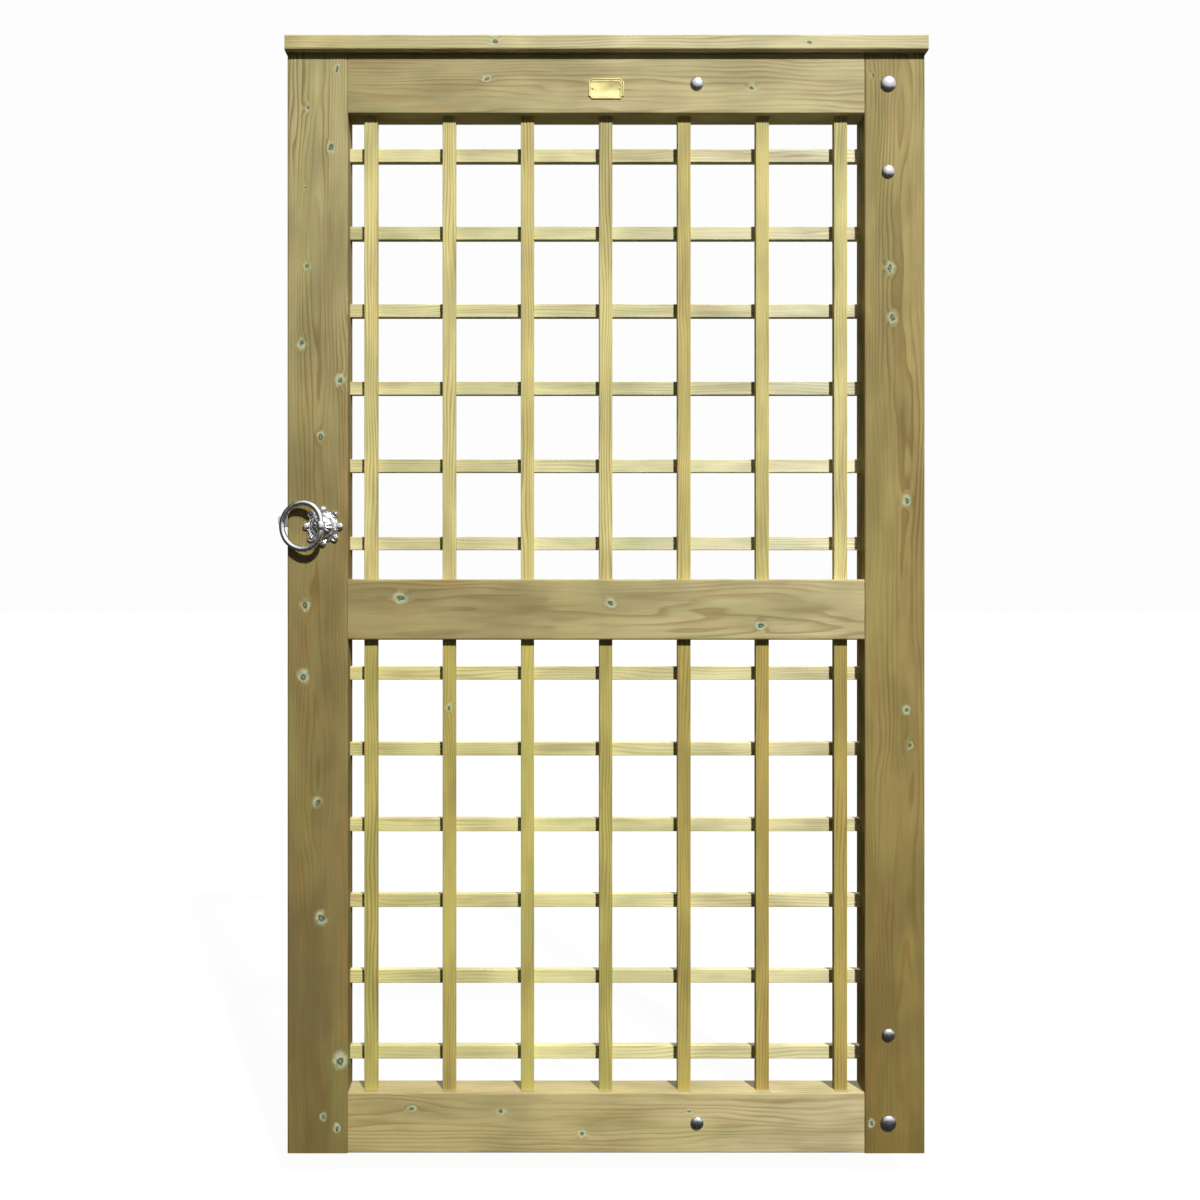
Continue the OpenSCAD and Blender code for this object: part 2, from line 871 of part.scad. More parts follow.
// The latch bar: a journal and hub on the spindle, a blade to the post and a thumb tail
module latch_bar() {
    blade_z = spindle_z + blade_rise;
    color(zinc)
        difference() {
            union() {
                rod(spindle, journal_r, leaf_t + face_gap, rose_t + slack);
                rod(spindle, hub_r, bar_y, blade_t);
                facing(bar_y, blade_t) {
                    polygon([
                        [spindle_x, blade_z],
                        [-blade_reach + 5, blade_z],
                        [-blade_reach, blade_z + 5],
                        [-blade_reach, blade_z + blade_h - 2],
                        [-blade_reach + 2, blade_z + blade_h],
                        [spindle_x, blade_z + blade_h]
                    ]);
                    polygon([
                        [spindle_x, spindle_z - hub_r * 0.7],
                        [spindle_x + tail_len - 5, spindle_z - 5],
                        [spindle_x + tail_len - 5, spindle_z + 5],
                        [spindle_x, spindle_z + hub_r * 0.7]
                    ]);
                    translate([spindle_x + tail_len - 5, spindle_z])
                        circle(6);
                }
            }
            spindle_socket(leaf_t, bar_y + blade_t + slack);
        }
}

module bar_screw() {
    y = bar_y + blade_t;
    color(dark_zinc) {
        rod(spindle, 9, y, 1.5);
        dome(spindle, bar_screw_d, 3, y + 1.5, 1);
        rod(spindle, bar_screw_d / 2, y - 14, 14);
    }
}

// The bar guide: a strip bent round the blade, with a foot above and below
module bar_guide() {
    foot_y = leaf_t + guide_t;
    low = guide_low - guide_t;
    high = guide_high + guide_t;
    color(zinc)
        difference() {
            across(guide_x - guide_w / 2, guide_w)
                polygon([
                    [leaf_t, low - foot_len],
                    [foot_y, low - foot_len],
                    [foot_y, low],
                    [guide_out_y, low],
                    [guide_out_y, high],
                    [foot_y, high],
                    [foot_y, high + foot_len],
                    [leaf_t, high + foot_len],
                    [leaf_t, guide_high],
                    [guide_in_y, guide_high],
                    [guide_in_y, guide_low],
                    [leaf_t, guide_low]
                ]);
            screw_holes(guide_screw_places(), guide_screw_d, leaf_t - slack, guide_t + 2 * slack);
        }
}

module guide_screws() {
    color(dark_zinc)
        round_screws(guide_screw_places(), guide_screw_d, guide_screw_len + guide_t,
                     leaf_t + guide_t, 1);
}

// ---- The pieces, each drawn by its own line ----

hung() {
    latch_stile();
    hanging_stile();
    top_rail();
    middle_rail();
    bottom_rail();
    tenon_wedges();
    cap_rail();
    cap_screws();
    for (i = uprights) {
        upright(i, upper_panel, upper_margin);
        upright(i, lower_panel, lower_margin);
    }
    for (j = crossbars) {
        crossbar(j, upper_panel, upper_margin);
        crossbar(j, lower_panel, lower_margin);
    }
    upper_trellis_pins();
    lower_trellis_pins();
    plaque();
    plaque_pins();
    upper_hinge_band();
    lower_hinge_band();
    upper_hinge_hook();
    lower_hinge_hook();
    corner_bolts();
    corner_washers();
    corner_nuts();
    band_bolts();
    band_washers();
    band_nuts();
    front_rose();
    rose_screws();
    ring_boss();
    ring();
    spindle_bar();
    rear_rose();
    rear_rose_screws();
    latch_bar();
    bar_screw();
    bar_guide();
    guide_screws();
}
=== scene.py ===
"""Looks of a framed garden gate: treated softwood, galvanised ironwork, a brass plaque and a plain studio."""

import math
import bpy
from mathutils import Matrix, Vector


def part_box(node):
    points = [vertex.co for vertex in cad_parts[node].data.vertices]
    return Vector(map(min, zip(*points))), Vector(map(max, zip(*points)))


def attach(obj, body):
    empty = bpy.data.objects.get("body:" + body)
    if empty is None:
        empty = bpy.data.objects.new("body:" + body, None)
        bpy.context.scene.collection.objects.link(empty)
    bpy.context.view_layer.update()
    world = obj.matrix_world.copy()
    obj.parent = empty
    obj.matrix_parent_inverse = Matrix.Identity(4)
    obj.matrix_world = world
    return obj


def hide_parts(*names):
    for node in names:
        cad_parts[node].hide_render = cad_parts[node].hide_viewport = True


bl_info = {
    "name": "Garden Gate Looks",
    "version": (1, 0, 0),
    "blender": (4, 5, 0),
    "location": "View3D > Sidebar > Garden Gate",
    "description": "Dresses the CAD model of a trellis gate in timber, zinc and brass, and lights it",
    "category": "Object",
}

import bmesh
import bpy
from bpy.props import FloatProperty, FloatVectorProperty, PointerProperty
from mathutils import Matrix, Vector

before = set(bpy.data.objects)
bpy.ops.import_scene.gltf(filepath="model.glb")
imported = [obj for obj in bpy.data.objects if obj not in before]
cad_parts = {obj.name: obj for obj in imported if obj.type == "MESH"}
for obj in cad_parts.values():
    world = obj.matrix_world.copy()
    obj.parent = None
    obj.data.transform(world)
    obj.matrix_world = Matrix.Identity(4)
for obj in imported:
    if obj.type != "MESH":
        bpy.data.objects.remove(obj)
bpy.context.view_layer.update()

MM = 0.001
TURN = 2 * math.pi

# Places that the whole scene is laid out from, in metres in the row frame
leaf_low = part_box("latch_stile")[0]
leaf_high = Vector((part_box("hanging_stile")[1].x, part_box("latch_stile")[1].y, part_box("cap_rail")[1].z))
spindle_low, spindle_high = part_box("spindle_bar")
spindle = (spindle_low + spindle_high) / 2
FRONT = leaf_low.y
BACK = leaf_high.y

# The parts of the ring latch that no box of the CAD gives
RING_SET_IN = 7.28 * MM  # from the boss's front to the middle of the ring's bar
DOME_FOOT = 3.3 * MM  # from the leaf's face to the foot of the boss's dome
ROSE_BORE = 9.08 * MM
JOURNAL = 8.9 * MM  # radius of the boss where it turns in the rose
PETAL = 5.3 * MM  # radius of a petal of the rose
GUIDE_PLATE = 3 * MM  # thickness of the bar guide under its screws

# Turns a shape made about Z, standing on Z = 0, so that it stands out of the front or the back
TO_FRONT = Matrix.Rotation(math.radians(90), 4, "X")
TO_BACK = Matrix.Rotation(math.radians(-90), 4, "X")


def linear(code):
    """Turns an sRGB hex colour into linear red, green and blue."""
    parts = [int(code[i : i + 2], 16) / 255 for i in (1, 3, 5)]
    return tuple(c / 12.92 if c <= 0.04045 else ((c + 0.055) / 1.055) ** 2.4 for c in parts)


def colour_prop(name, description, code):
    return FloatVectorProperty(
        name=name, description=description, default=linear(code), subtype="COLOR", size=3, min=0, max=1
    )


def length_prop(name, description, default_mm):
    return FloatProperty(
        name=name, description=description, default=default_mm * MM, unit="LENGTH", min=0
    )


# ---- Settings that a user would change ----


class GateTimberSettings(bpy.types.PropertyGroup):
    latch_foot: colour_prop("Latch stile, foot", "Wood at the foot of the latch stile", "#71643A")
    latch_middle: colour_prop("Latch stile, middle", "Wood half way up the latch stile", "#867848")
    latch_head: colour_prop("Latch stile, head", "Wood at the head of the latch stile", "#B6AB78")
    hanging_foot: colour_prop("Hanging stile, foot", "Wood at the foot of the hanging stile", "#7A6834")
    hanging_middle: colour_prop("Hanging stile, middle", "Wood half way up the hanging stile", "#9C8A52")
    hanging_head: colour_prop("Hanging stile, head", "Wood at the head of the hanging stile", "#A99A61")
    top_latch: colour_prop("Top rail, latch end", "Wood at the latch end of the top rail", "#A09461")
    top_middle: colour_prop("Top rail, middle", "Wood in the middle of the top rail", "#BCB080")
    top_hinge: colour_prop("Top rail, hinge end", "Wood at the hinge end of the top rail", "#C9BF8E")
    middle_latch: colour_prop("Middle rail, latch end", "Wood at its latch end", "#948556")
    middle_middle: colour_prop("Middle rail, middle", "Wood in the middle of the middle rail", "#B3A674")
    middle_hinge: colour_prop("Middle rail, hinge end", "Wood at its hinge end", "#C9BC8D")
    bottom_latch: colour_prop("Bottom rail, latch end", "Wood at its latch end", "#AA9C68")
    bottom_middle: colour_prop("Bottom rail, middle", "Wood in the middle of the bottom rail", "#B3A573")
    bottom_hinge: colour_prop("Bottom rail, hinge end", "Wood at its hinge end", "#CDBF93")
    cap_latch: colour_prop("Capping, latch end", "Wood at its latch end", "#C7BD83")
    cap_middle: colour_prop("Capping, middle", "Wood in the middle of the capping rail", "#E1D7A6")
    cap_hinge: colour_prop("Capping, hinge end", "Wood at its hinge end", "#D0C799")
    upper_upright_pale: colour_prop("Upper uprights, pale", "The palest of the upper uprights", "#DCD18E")
    upper_upright_deep: colour_prop("Upper uprights, deep", "The deepest of the upper uprights", "#CBBA6E")
    lower_upright_pale: colour_prop("Lower uprights, pale", "The palest of the lower uprights", "#BFB564")
    lower_upright_deep: colour_prop("Lower uprights, deep", "The deepest of the lower uprights", "#B09C53")
    # The crossbars' three tones are the wood's pale tone with painted light over it: deeper at the latch end
    # and paler towards the hinge end, as if the light from the right fell on them
    upper_bar_latch_shaded: colour_prop("Upper crossbars, latch end", "Upper crossbars at the latch end", "#D4CD94")
    upper_bar_middle: colour_prop("Upper crossbars, middle", "Upper crossbars in the middle", "#DFDAA7")
    upper_bar_hinge_lit: colour_prop("Upper crossbars, hinge end", "Upper crossbars at the hinge end", "#EDE8C4")
    lower_bar_latch_shaded: colour_prop("Lower crossbars, latch end", "Lower crossbars at the latch end", "#CEC684")
    lower_bar_middle: colour_prop("Lower crossbars, middle", "Lower crossbars in the middle", "#DBD499")
    lower_bar_hinge_lit: colour_prop("Lower crossbars, hinge end", "Lower crossbars at the hinge end", "#E8E0B2")
    late_wood: colour_prop("Late wood", "Brown line of each annual ring", "#7D6330")
    green_salts: colour_prop("Green salts", "Green that the treatment leaves in the sapwood", "#8F8E4E")
    brown_salts: colour_prop("Brown salts", "Brown that the treatment turns the heartwood", "#9A7546")
    knot_heart: colour_prop("Knot heart", "Dark green heart of a knot", "#3E4C3C")
    knot_halo: colour_prop("Knot halo", "Pale green bloom of the treatment round a knot", "#C4CFA8")
    ring_width: length_prop("Ring width", "Width of one annual ring", 4.5)
    fibre_width: length_prop("Fibre width", "Width of the finest streaks", 1.3)


class GateMetalSettings(bpy.types.PropertyGroup):
    bright_zinc: colour_prop("Bright zinc", "Plated bolts and screws", "#B6B6BA")
    galvanised: colour_prop("Galvanised iron", "Hot-dipped ring, rose and hinges", "#DCDDDF")
    dull_zinc: colour_prop("Dull zinc", "Weathered plating", "#8C8C8A")
    brass: colour_prop("Brass", "Pressed plaque", "#ADA272")
    spangle: length_prop("Spangle", "Size of the zinc crystals", 7.0)
    ring_bar: length_prop("Ring bar", "Diameter of the bar that the ring is bent from", 9.0)
    ring_pin: length_prop("Ring pin", "Straight stretch of the ring in its lug", 14.0)


class GateStageSettings(bpy.types.PropertyGroup):
    camera_across: length_prop("Camera across", "From the leaf's latch edge to the camera", 401.0)
    camera_up: length_prop("Camera up", "From the leaf's lower edge to the camera", 899.0)
    camera_back: length_prop("Camera back", "From the leaf's front face to the camera", 1735.0)
    lens: FloatProperty(name="Lens", description="Focal length, in millimetres", default=33.2, min=10)
    shift_x: FloatProperty(name="Shift X", description="Sideways shift of the lens", default=0.0475)
    shift_y: FloatProperty(name="Shift Y", description="Upward shift of the lens", default=-0.0167)
    sun: FloatProperty(name="Key light", description="Strength of the key light", default=4.5, min=0)
    sun_size: FloatProperty(
        name="Key size", description="Apparent size of the key", default=math.radians(4), subtype="ANGLE"
    )
    back: FloatProperty(name="Back light", description="Strength of the back light", default=1.6, min=0)
    fill: FloatProperty(name="Fill light", description="Strength of the ceiling", default=0.045, min=0)
    floor_gap: length_prop("Floor gap", "From the floor to the leaf's lower edge", 50.0)


# ---- Materials ----

# Blender's names of the nodes that the materials use most, and two ways of setting them. A Mix
# node of colours gives its result at its third output.
MATH, VECTOR_MATH, SEPARATE = "ShaderNodeMath", "ShaderNodeVectorMath", "ShaderNodeSeparateXYZ"
NOISE, MAP_RANGE, MIX = "ShaderNodeTexNoise", "ShaderNodeMapRange", "ShaderNodeMix"
SMOOTH = {"interpolation_type": "SMOOTHSTEP"}
OF_COLOURS = {"out": 2, "data_type": "RGBA"}


def add_node(tree, kind, inputs=None, out=0, **settings):
    """Adds one node with its settings and returns one of its outputs.

    An input is a value, or a socket that it is linked to.
    """
    node = tree.nodes.new(kind)
    for name, value in settings.items():
        setattr(node, name, value)
    for key, value in (inputs or {}).items():
        if isinstance(value, bpy.types.NodeSocket):
            tree.links.new(value, node.inputs[key])
        else:
            node.inputs[key].default_value = value
    return node.outputs[out] if len(node.outputs) else None


def new_material(name):
    """An empty material. Returns it with its tree."""
    material = bpy.data.materials.new(name)
    material.use_nodes = True
    material.node_tree.nodes.clear()
    return material, material.node_tree


def surface(tree, looks):
    """Ends a material's tree with its shader, given what goes into the shader's sockets."""
    shader = add_node(tree, "ShaderNodeBsdfPrincipled", looks)
    add_node(tree, "ShaderNodeOutputMaterial", {"Surface": shader})


def opaque(colour):
    return (*colour, 1.0)


def grained_coordinates(tree, grain, lath_row, seed):
    """Coordinates with X along the grain, Y across the board and Z into it, in metres.

    In a row of laths each one gets its own place in the pattern and its own tone from 0 to 1.
    """
    coords = add_node(tree, "ShaderNodeTexCoord", out="Object")
    parts = add_node(tree, SEPARATE, {0: coords}).node.outputs
    along, across = (parts[2], parts[0]) if grain == "Z" else (parts[0], parts[2])
    board = add_node(tree, "ShaderNodeCombineXYZ", {0: along, 1: across, 2: parts[1]})
    moved = add_node(tree, VECTOR_MATH, {0: board, 1: Vector((1.7, 0.9, 0.4)) * seed})
    if lath_row is None:
        return board, moved, None
    first, pitch = lath_row
    steps = add_node(tree, MATH, {0: across, 1: first}, operation="SUBTRACT")
    steps = add_node(tree, MATH, {0: steps, 1: pitch}, operation="DIVIDE")
    number = add_node(tree, MATH, {0: steps}, operation="ROUND")
    number = add_node(tree, MATH, {0: number, 1: seed * 7.3})
    lot = add_node(tree, "ShaderNodeTexWhiteNoise", {"W": number}, noise_dimensions="1D").node.outputs
    jump = add_node(tree, VECTOR_MATH, {0: lot["Color"], "Scale": 3.0}, operation="SCALE")
    moved = add_node(tree, VECTOR_MATH, {0: moved, 1: jump})
    return board, moved, lot["Value"]


def stretched_noise(tree, coords, length, width, detail=2.0, rough=0.5):
    """Noise whose features are length long with the grain and width across it, in metres."""
    scales = (1 / length, 1 / width, 1 / width)
    sized = add_node(tree, VECTOR_MATH, {0: coords, 1: scales}, operation="MULTIPLY")
    return add_node(tree, NOISE, {"Vector": sized, "Scale": 1.0, "Detail": detail, "Roughness": rough})


def knot_nearness(tree, board, knots):
    """Distance to the nearest knot, in units of that knot's own radius."""
    # Noise of about 8 mm makes the rounds of the knots ragged
    ragged = add_node(tree, NOISE, {"Vector": board, "Scale": 130.0, "Detail": 2.0}, "Color")
    ragged = add_node(tree, VECTOR_MATH, {0: ragged, 1: (0.5, 0.5, 0.5)}, operation="SUBTRACT")
    reach = (11 * MM, 7 * MM, 0)
    board = add_node(tree, VECTOR_MATH, {0: ragged, 1: reach, 2: board}, operation="MULTIPLY_ADD")
    nearest = None
    for along, across, radius in knots:
        # A knot is longer with the grain, and goes right through the board
        place = {"Vector": board, "Location": (along, across, 0), "Scale": (radius * 1.3, radius, 1000.0)}
        local = add_node(tree, "ShaderNodeMapping", place, vector_type="TEXTURE")
        distance = add_node(tree, VECTOR_MATH, {0: local}, "Value", operation="LENGTH")
        if nearest is not None:
            distance = add_node(tree, MATH, {0: nearest, 1: distance}, operation="MINIMUM")
        nearest = distance
    return nearest


def graded(tree, along, span, tones):
    """The colour of a member that changes from one end, through its middle, to the other; on the crossbars
    this is painted light, paler towards the hinge end.
    """
    start, end = span
    middle = (start + end) / 2
    share = add_node(tree, MAP_RANGE, {0: along, 1: start, 2: middle})
    colour = add_node(tree, MIX, {0: share, 6: opaque(tones[0]), 7: opaque(tones[1])}, **OF_COLOURS)
    share = add_node(tree, MAP_RANGE, {0: along, 1: middle, 2: end})
    return add_node(tree, MIX, {0: share, 6: colour, 7: opaque(tones[2])}, **OF_COLOURS)


def treated_softwood(name, grain, tones, pith, span=None, knots=(), lath_row=None, seed=0.0, contrast=0.5):
    """Pressure-treated, planed pine: a log of annual rings about its pith, cut by the board's own shape.

    The salts leave green and brown clouds, the late wood of each ring is a soft brown line, the
    fibres are fine streaks, and the treatment blooms pale green round each dark knot. A board with a
    span is graded along it through three tones; without one each lath lies between two tones.
    """
    timber = bpy.context.scene.gate_timber
    material, tree = new_material(name)
    board, coords, tone = grained_coordinates(tree, grain, lath_row, seed)

    # A ring is told by its distance from the pith, and wanders, because no trunk is a true cylinder
    parts = add_node(tree, SEPARATE, {0: coords if lath_row else board}).node.outputs
    across = add_node(tree, MATH, {0: parts[1], 1: pith[0]}, operation="SUBTRACT")
    depth = add_node(tree, MATH, {0: parts[2], 1: pith[1]}, operation="SUBTRACT")
    section = add_node(tree, "ShaderNodeCombineXYZ", {1: across, 2: depth})
    radius = add_node(tree, VECTOR_MATH, {0: section}, "Value", operation="LENGTH")
    wander = stretched_noise(tree, coords, 0.34, 0.055)
    ripple = stretched_noise(tree, coords, 0.08, 0.014, 1.0)
    for wave, reach in ((wander, 30 * MM), (ripple, 3 * MM)):
        radius = add_node(tree, MATH, {0: wave, 1: reach, 2: radius}, operation="MULTIPLY_ADD")
    if knots:
        near = knot_nearness(tree, board, knots)
        bulge = add_node(tree, MAP_RANGE, {0: near, 1: 0.5, 2: 4.0, 3: 4 * MM, 4: 0.0}, **SMOOTH)
        radius = add_node(tree, MATH, {0: radius, 1: bulge})

    # Each ring darkens slowly into its late wood and ends sharply
    rings = add_node(tree, MATH, {0: radius, 1: timber.ring_width}, operation="DIVIDE")
    phase = add_node(tree, MATH, {0: rings}, operation="FRACT")
    rise = add_node(tree, MAP_RANGE, {0: phase, 1: 0.3, 2: 0.84}, **SMOOTH)
    fall = add_node(tree, MAP_RANGE, {0: phase, 1: 0.84, 2: 1.0, 3: 1.0, 4: 0.0}, **SMOOTH)
    late = add_node(tree, MATH, {0: rise, 1: fall}, operation="MULTIPLY")
    # The late wood shows strongly in some stretches of a board and hardly in others
    showing = stretched_noise(tree, coords, 0.3, 0.035, 1.0)
    showing = {0: showing, 1: 0.35, 2: 0.65, 3: 0.2 * contrast, 4: contrast}
    showing = add_node(tree, MAP_RANGE, showing, **SMOOTH)
    lines = add_node(tree, MATH, {0: late, 1: showing}, operation="MULTIPLY")

    # Clouds of the salts, broad shading and fine fibres
    brown_place = add_node(tree, VECTOR_MATH, {0: coords, 1: (5.0, 3.0, 2.0)})
    green = stretched_noise(tree, coords, 0.3, 0.045, 3.0, 0.6)
    green = add_node(tree, MAP_RANGE, {0: green, 1: 0.45, 2: 0.75, 3: 0.0, 4: 0.35}, **SMOOTH)
    brown = stretched_noise(tree, brown_place, 0.22, 0.02, 3.0, 0.6)
    brown = add_node(tree, MAP_RANGE, {0: brown, 1: 0.5, 2: 0.75, 3: 0.0, 4: 0.4}, **SMOOTH)
    cloud = stretched_noise(tree, brown_place, 0.13, 0.05)
    cloud = add_node(tree, MAP_RANGE, {0: cloud, 1: 0.3, 2: 0.7, 3: 0.84, 4: 1.14}, **SMOOTH)
    fibre = stretched_noise(tree, coords, 0.09, timber.fibre_width, 3.0, 0.65)
    streaks = add_node(tree, MAP_RANGE, {0: fibre, 1: 0.25, 2: 0.75, 3: 0.9, 4: 1.12})
    shade = add_node(tree, MATH, {0: streaks, 1: cloud}, operation="MULTIPLY")

    # A board with a span is graded through its three tones; on the crossbars this is painted light, paler
    # towards the hinge end
    if span:
        along = add_node(tree, SEPARATE, {0: board})
        colour = graded(tree, along, span, tones)
    else:
        colour = add_node(tree, MIX, {0: tone, 6: opaque(tones[0]), 7: opaque(tones[1])}, **OF_COLOURS)
    for amount, paint in (
        (green, timber.green_salts), (brown, timber.brown_salts), (lines, timber.late_wood),
    ):
        colour = add_node(tree, MIX, {0: amount, 6: colour, 7: opaque(paint)}, **OF_COLOURS)
    colour = add_node(tree, VECTOR_MATH, {0: colour, "Scale": shade}, operation="SCALE")
    if knots:
        # The bloom round a knot comes and goes in patches of about 17 mm
        patches = add_node(tree, NOISE, {"Vector": coords, "Scale": 60.0, "Detail": 2.0})
        patches = add_node(tree, MAP_RANGE, {0: patches, 1: 0.38, 2: 0.6, 3: 0.15, 4: 0.85}, **SMOOTH)
        halo = add_node(tree, MAP_RANGE, {0: near, 1: 0.8, 2: 2.6, 3: 1.0, 4: 0.0}, **SMOOTH)
        halo = add_node(tree, MATH, {0: halo, 1: patches}, operation="MULTIPLY")
        heart = add_node(tree, MAP_RANGE, {0: near, 1: 0.55, 2: 1.2, 3: 0.95, 4: 0.0}, **SMOOTH)
        eye = add_node(tree, MAP_RANGE, {0: near, 1: 0.1, 2: 0.5, 3: 0.45, 4: 0.0}, **SMOOTH)
        for amount, paint in ((halo, timber.knot_halo), (heart, timber.knot_heart), (eye, timber.knot_halo)):
            colour = add_node(tree, MIX, {0: amount, 6: colour, 7: opaque(paint)}, **OF_COLOURS)

    relief = add_node(tree, MATH, {0: late, 1: 0.5, 2: fibre}, operation="MULTIPLY_ADD")
    relief = {"Strength": 0.45, "Distance": 0.3 * MM, "Height": relief}
    surface(tree, {
        "Base Color": colour,
        "Roughness": add_node(tree, MAP_RANGE, {0: fibre, 1: 0.2, 2: 0.8, 3: 0.78, 4: 0.62}),
        "Specular IOR Level": 0.3,
        "Normal": add_node(tree, "ShaderNodeBump", relief),
    })
    return material


def zinc_coat(name, colour, crystal, roughness, grain):
    """Zinc on iron or steel: crystals of slightly different greys, each a little smoother or duller.

    Clouds of about 17 mm lie over the crystals. With a grain, in metres, the casting or forging
    below shows through as fine bumps.
    """
    material, tree = new_material(name)
    coords = add_node(tree, "ShaderNodeTexCoord", out="Object")
    cells = add_node(tree, "ShaderNodeTexVoronoi", {"Vector": coords, "Scale": 1 / crystal}, "Color")
    grey = add_node(tree, "ShaderNodeSeparateColor", {0: cells})
    cloud = add_node(tree, NOISE, {"Vector": coords, "Scale": 60.0, "Detail": 3.0})
    shade = add_node(tree, MATH, {0: grey, 1: cloud})
    share = add_node(tree, MAP_RANGE, {0: shade, 1: 0.5, 2: 1.4}, **SMOOTH)
    tones = {0: share, 6: opaque(colour), 7: opaque([c * 0.8 for c in colour])}
    gloss = {0: shade, 1: 0.4, 2: 1.5, 3: roughness * 0.8, 4: roughness * 1.35}
    looks = {
        "Base Color": add_node(tree, MIX, tones, **OF_COLOURS),
        "Roughness": add_node(tree, MAP_RANGE, gloss, **SMOOTH),
        "Metallic": 1.0,
    }
    if grain:
        bumps = add_node(tree, NOISE, {"Vector": coords, "Scale": 1 / grain, "Detail": 2.0})
        relief = {"Strength": 0.15, "Distance": 0.3 * MM, "Height": bumps}
        looks["Normal"] = add_node(tree, "ShaderNodeBump", relief)
    surface(tree, looks)
    return material


def zinc_finish(kind):
    """One of the gate's four zinc finishes, made the first time it is asked for."""
    metal = bpy.context.scene.gate_metal
    name, *coat = {
        # Hot-dipped castings: bright, with the sand of the mould showing as soft bumps
        "cast": ("bright galvanised iron", metal.galvanised, metal.spangle * 0.5, 0.23, 2.5 * MM),
        # Hot-dipped strip: large crystals, satin
        "strip": ("galvanised steel strip", metal.galvanised, metal.spangle, 0.42, 0.0),
        # Electroplated bolts: smooth and bright
        "bright": ("bright zinc plated steel", metal.bright_zinc, metal.spangle * 0.3, 0.27, 0.0),
        # Electroplated screws and pins gone grey in the weather
        "dull": ("dull zinc plated steel", metal.dull_zinc, metal.spangle * 0.3, 0.45, 0.0),
    }[kind]
    return bpy.data.materials.get(name) or zinc_coat(name, *coat)


def pressed_brass():
    """Pressed, lacquered brass: warm and satin.

    It has faint brushing, drawn 0.4 mm wide, and a duller bloom in patches of about 11 mm.
    """
    brass = bpy.context.scene.gate_metal.brass
    material, tree = new_material("pressed brass")
    coords = add_node(tree, "ShaderNodeTexCoord", out="Object")
    brushed = stretched_noise(tree, coords, 0.02, 0.4 * MM)
    bloom = add_node(tree, NOISE, {"Vector": coords, "Scale": 90.0, "Detail": 3.0})
    bloom = add_node(tree, MAP_RANGE, {0: bloom, 1: 0.35, 2: 0.75}, **SMOOTH)
    tones = {0: bloom, 6: opaque(brass), 7: opaque([c * 0.82 for c in brass])}
    surface(tree, {
        "Base Color": add_node(tree, MIX, tones, **OF_COLOURS),
        "Roughness": add_node(tree, MAP_RANGE, {0: brushed, 1: 0.2, 2: 0.8, 3: 0.5, 4: 0.7}, **SMOOTH),
        "Metallic": 1.0,
    })
    return material


def dress(material, *nodes):
    """Gives CAD nodes a material in place of their own."""
    for node in nodes:
        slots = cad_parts[node].data.materials
        slots.clear()
        slots.append(material)


# ---- Shapes ----


def in_scene(name, data):
    """A new object in the scene that holds a mesh, a light or a camera."""
    thing = bpy.data.objects.new(name, data)
    bpy.context.scene.collection.objects.link(thing)
    return thing


def new_piece(name, points, faces, material, matrix=None, sharp=math.radians(40)):
    """A closed mesh object from points and faces, merged, facing outwards and smooth between sharp edges."""
    mesh = bpy.data.meshes.new(name)
    shape = bmesh.new()
    made = [shape.verts.new(matrix @ Vector(p) if matrix else p) for p in points]
    for face in faces:
        shape.faces.new([made[i] for i in face])
    bmesh.ops.remove_doubles(shape, verts=shape.verts, dist=1e-6)
    bmesh.ops.recalc_face_normals(shape, faces=shape.faces)
    for face in shape.faces:
        face.smooth = True
    for edge in shape.edges:
        edge.smooth = edge.calc_face_angle(0) < sharp
    shape.to_mesh(mesh)
    shape.free()
    mesh.materials.append(material)
    return in_scene(name, mesh)


def join(mesh, pieces):
    """Adds the meshes of some pieces to a mesh, and removes the pieces."""
    shape = bmesh.new()
    shape.from_mesh(mesh)
    for piece in pieces:
        shape.from_mesh(piece.data)
        bpy.data.objects.remove(piece)
    shape.to_mesh(mesh)
    shape.free()


def loft(loops, closed_ends=True):
    """Points and faces between loops of points of one length, each loop joined to the next."""
    count = len(loops[0])
    points = [p for loop in loops for p in loop]
    faces = []
    for k in range(len(loops) - 1):
        for j in range(count):
            a, b = k * count + j, k * count + (j + 1) % count
            faces.append((a, b, b + count, a + count))
    if closed_ends:
        faces.append(tuple(range(count))[::-1])
        faces.append(tuple(range(len(points) - count, len(points))))
    return points, faces


def around(spots):
    """A loop of points round Z, evenly turned, each given by its radius and height."""
    angles = [j * TURN / len(spots) for j in range(len(spots))]
    return [(r * math.cos(a), r * math.sin(a), h) for (r, h), a in zip(spots, angles)]


def turned(profile, steps=48, closed_ends=True):
    """A solid turned about Z from (radius, height) points, from its bottom to its top."""
    return loft([around([spot] * steps) for spot in profile], closed_ends)


def polar_solid(outline, height, rings, steps, bore=0.0):
    """A solid on Z = 0 whose top is height(radius, angle) inside outline(angle), with an optional bore."""
    angles = [j * TURN / steps for j in range(steps)]
    loops = []
    for k in range(rings + 1):
        radii = [bore + (outline(a) - bore) * (k / rings) for a in angles]
        loops.append(around([(r, height(r, a)) for r, a in zip(radii, angles)]))
    loops.append(around([(outline(a), 0.0) for a in angles]))
    if not bore:
        return loft(loops[1:])
    inner = around([(bore, 0.0)] * steps)
    return loft([inner, *loops, inner], closed_ends=False)


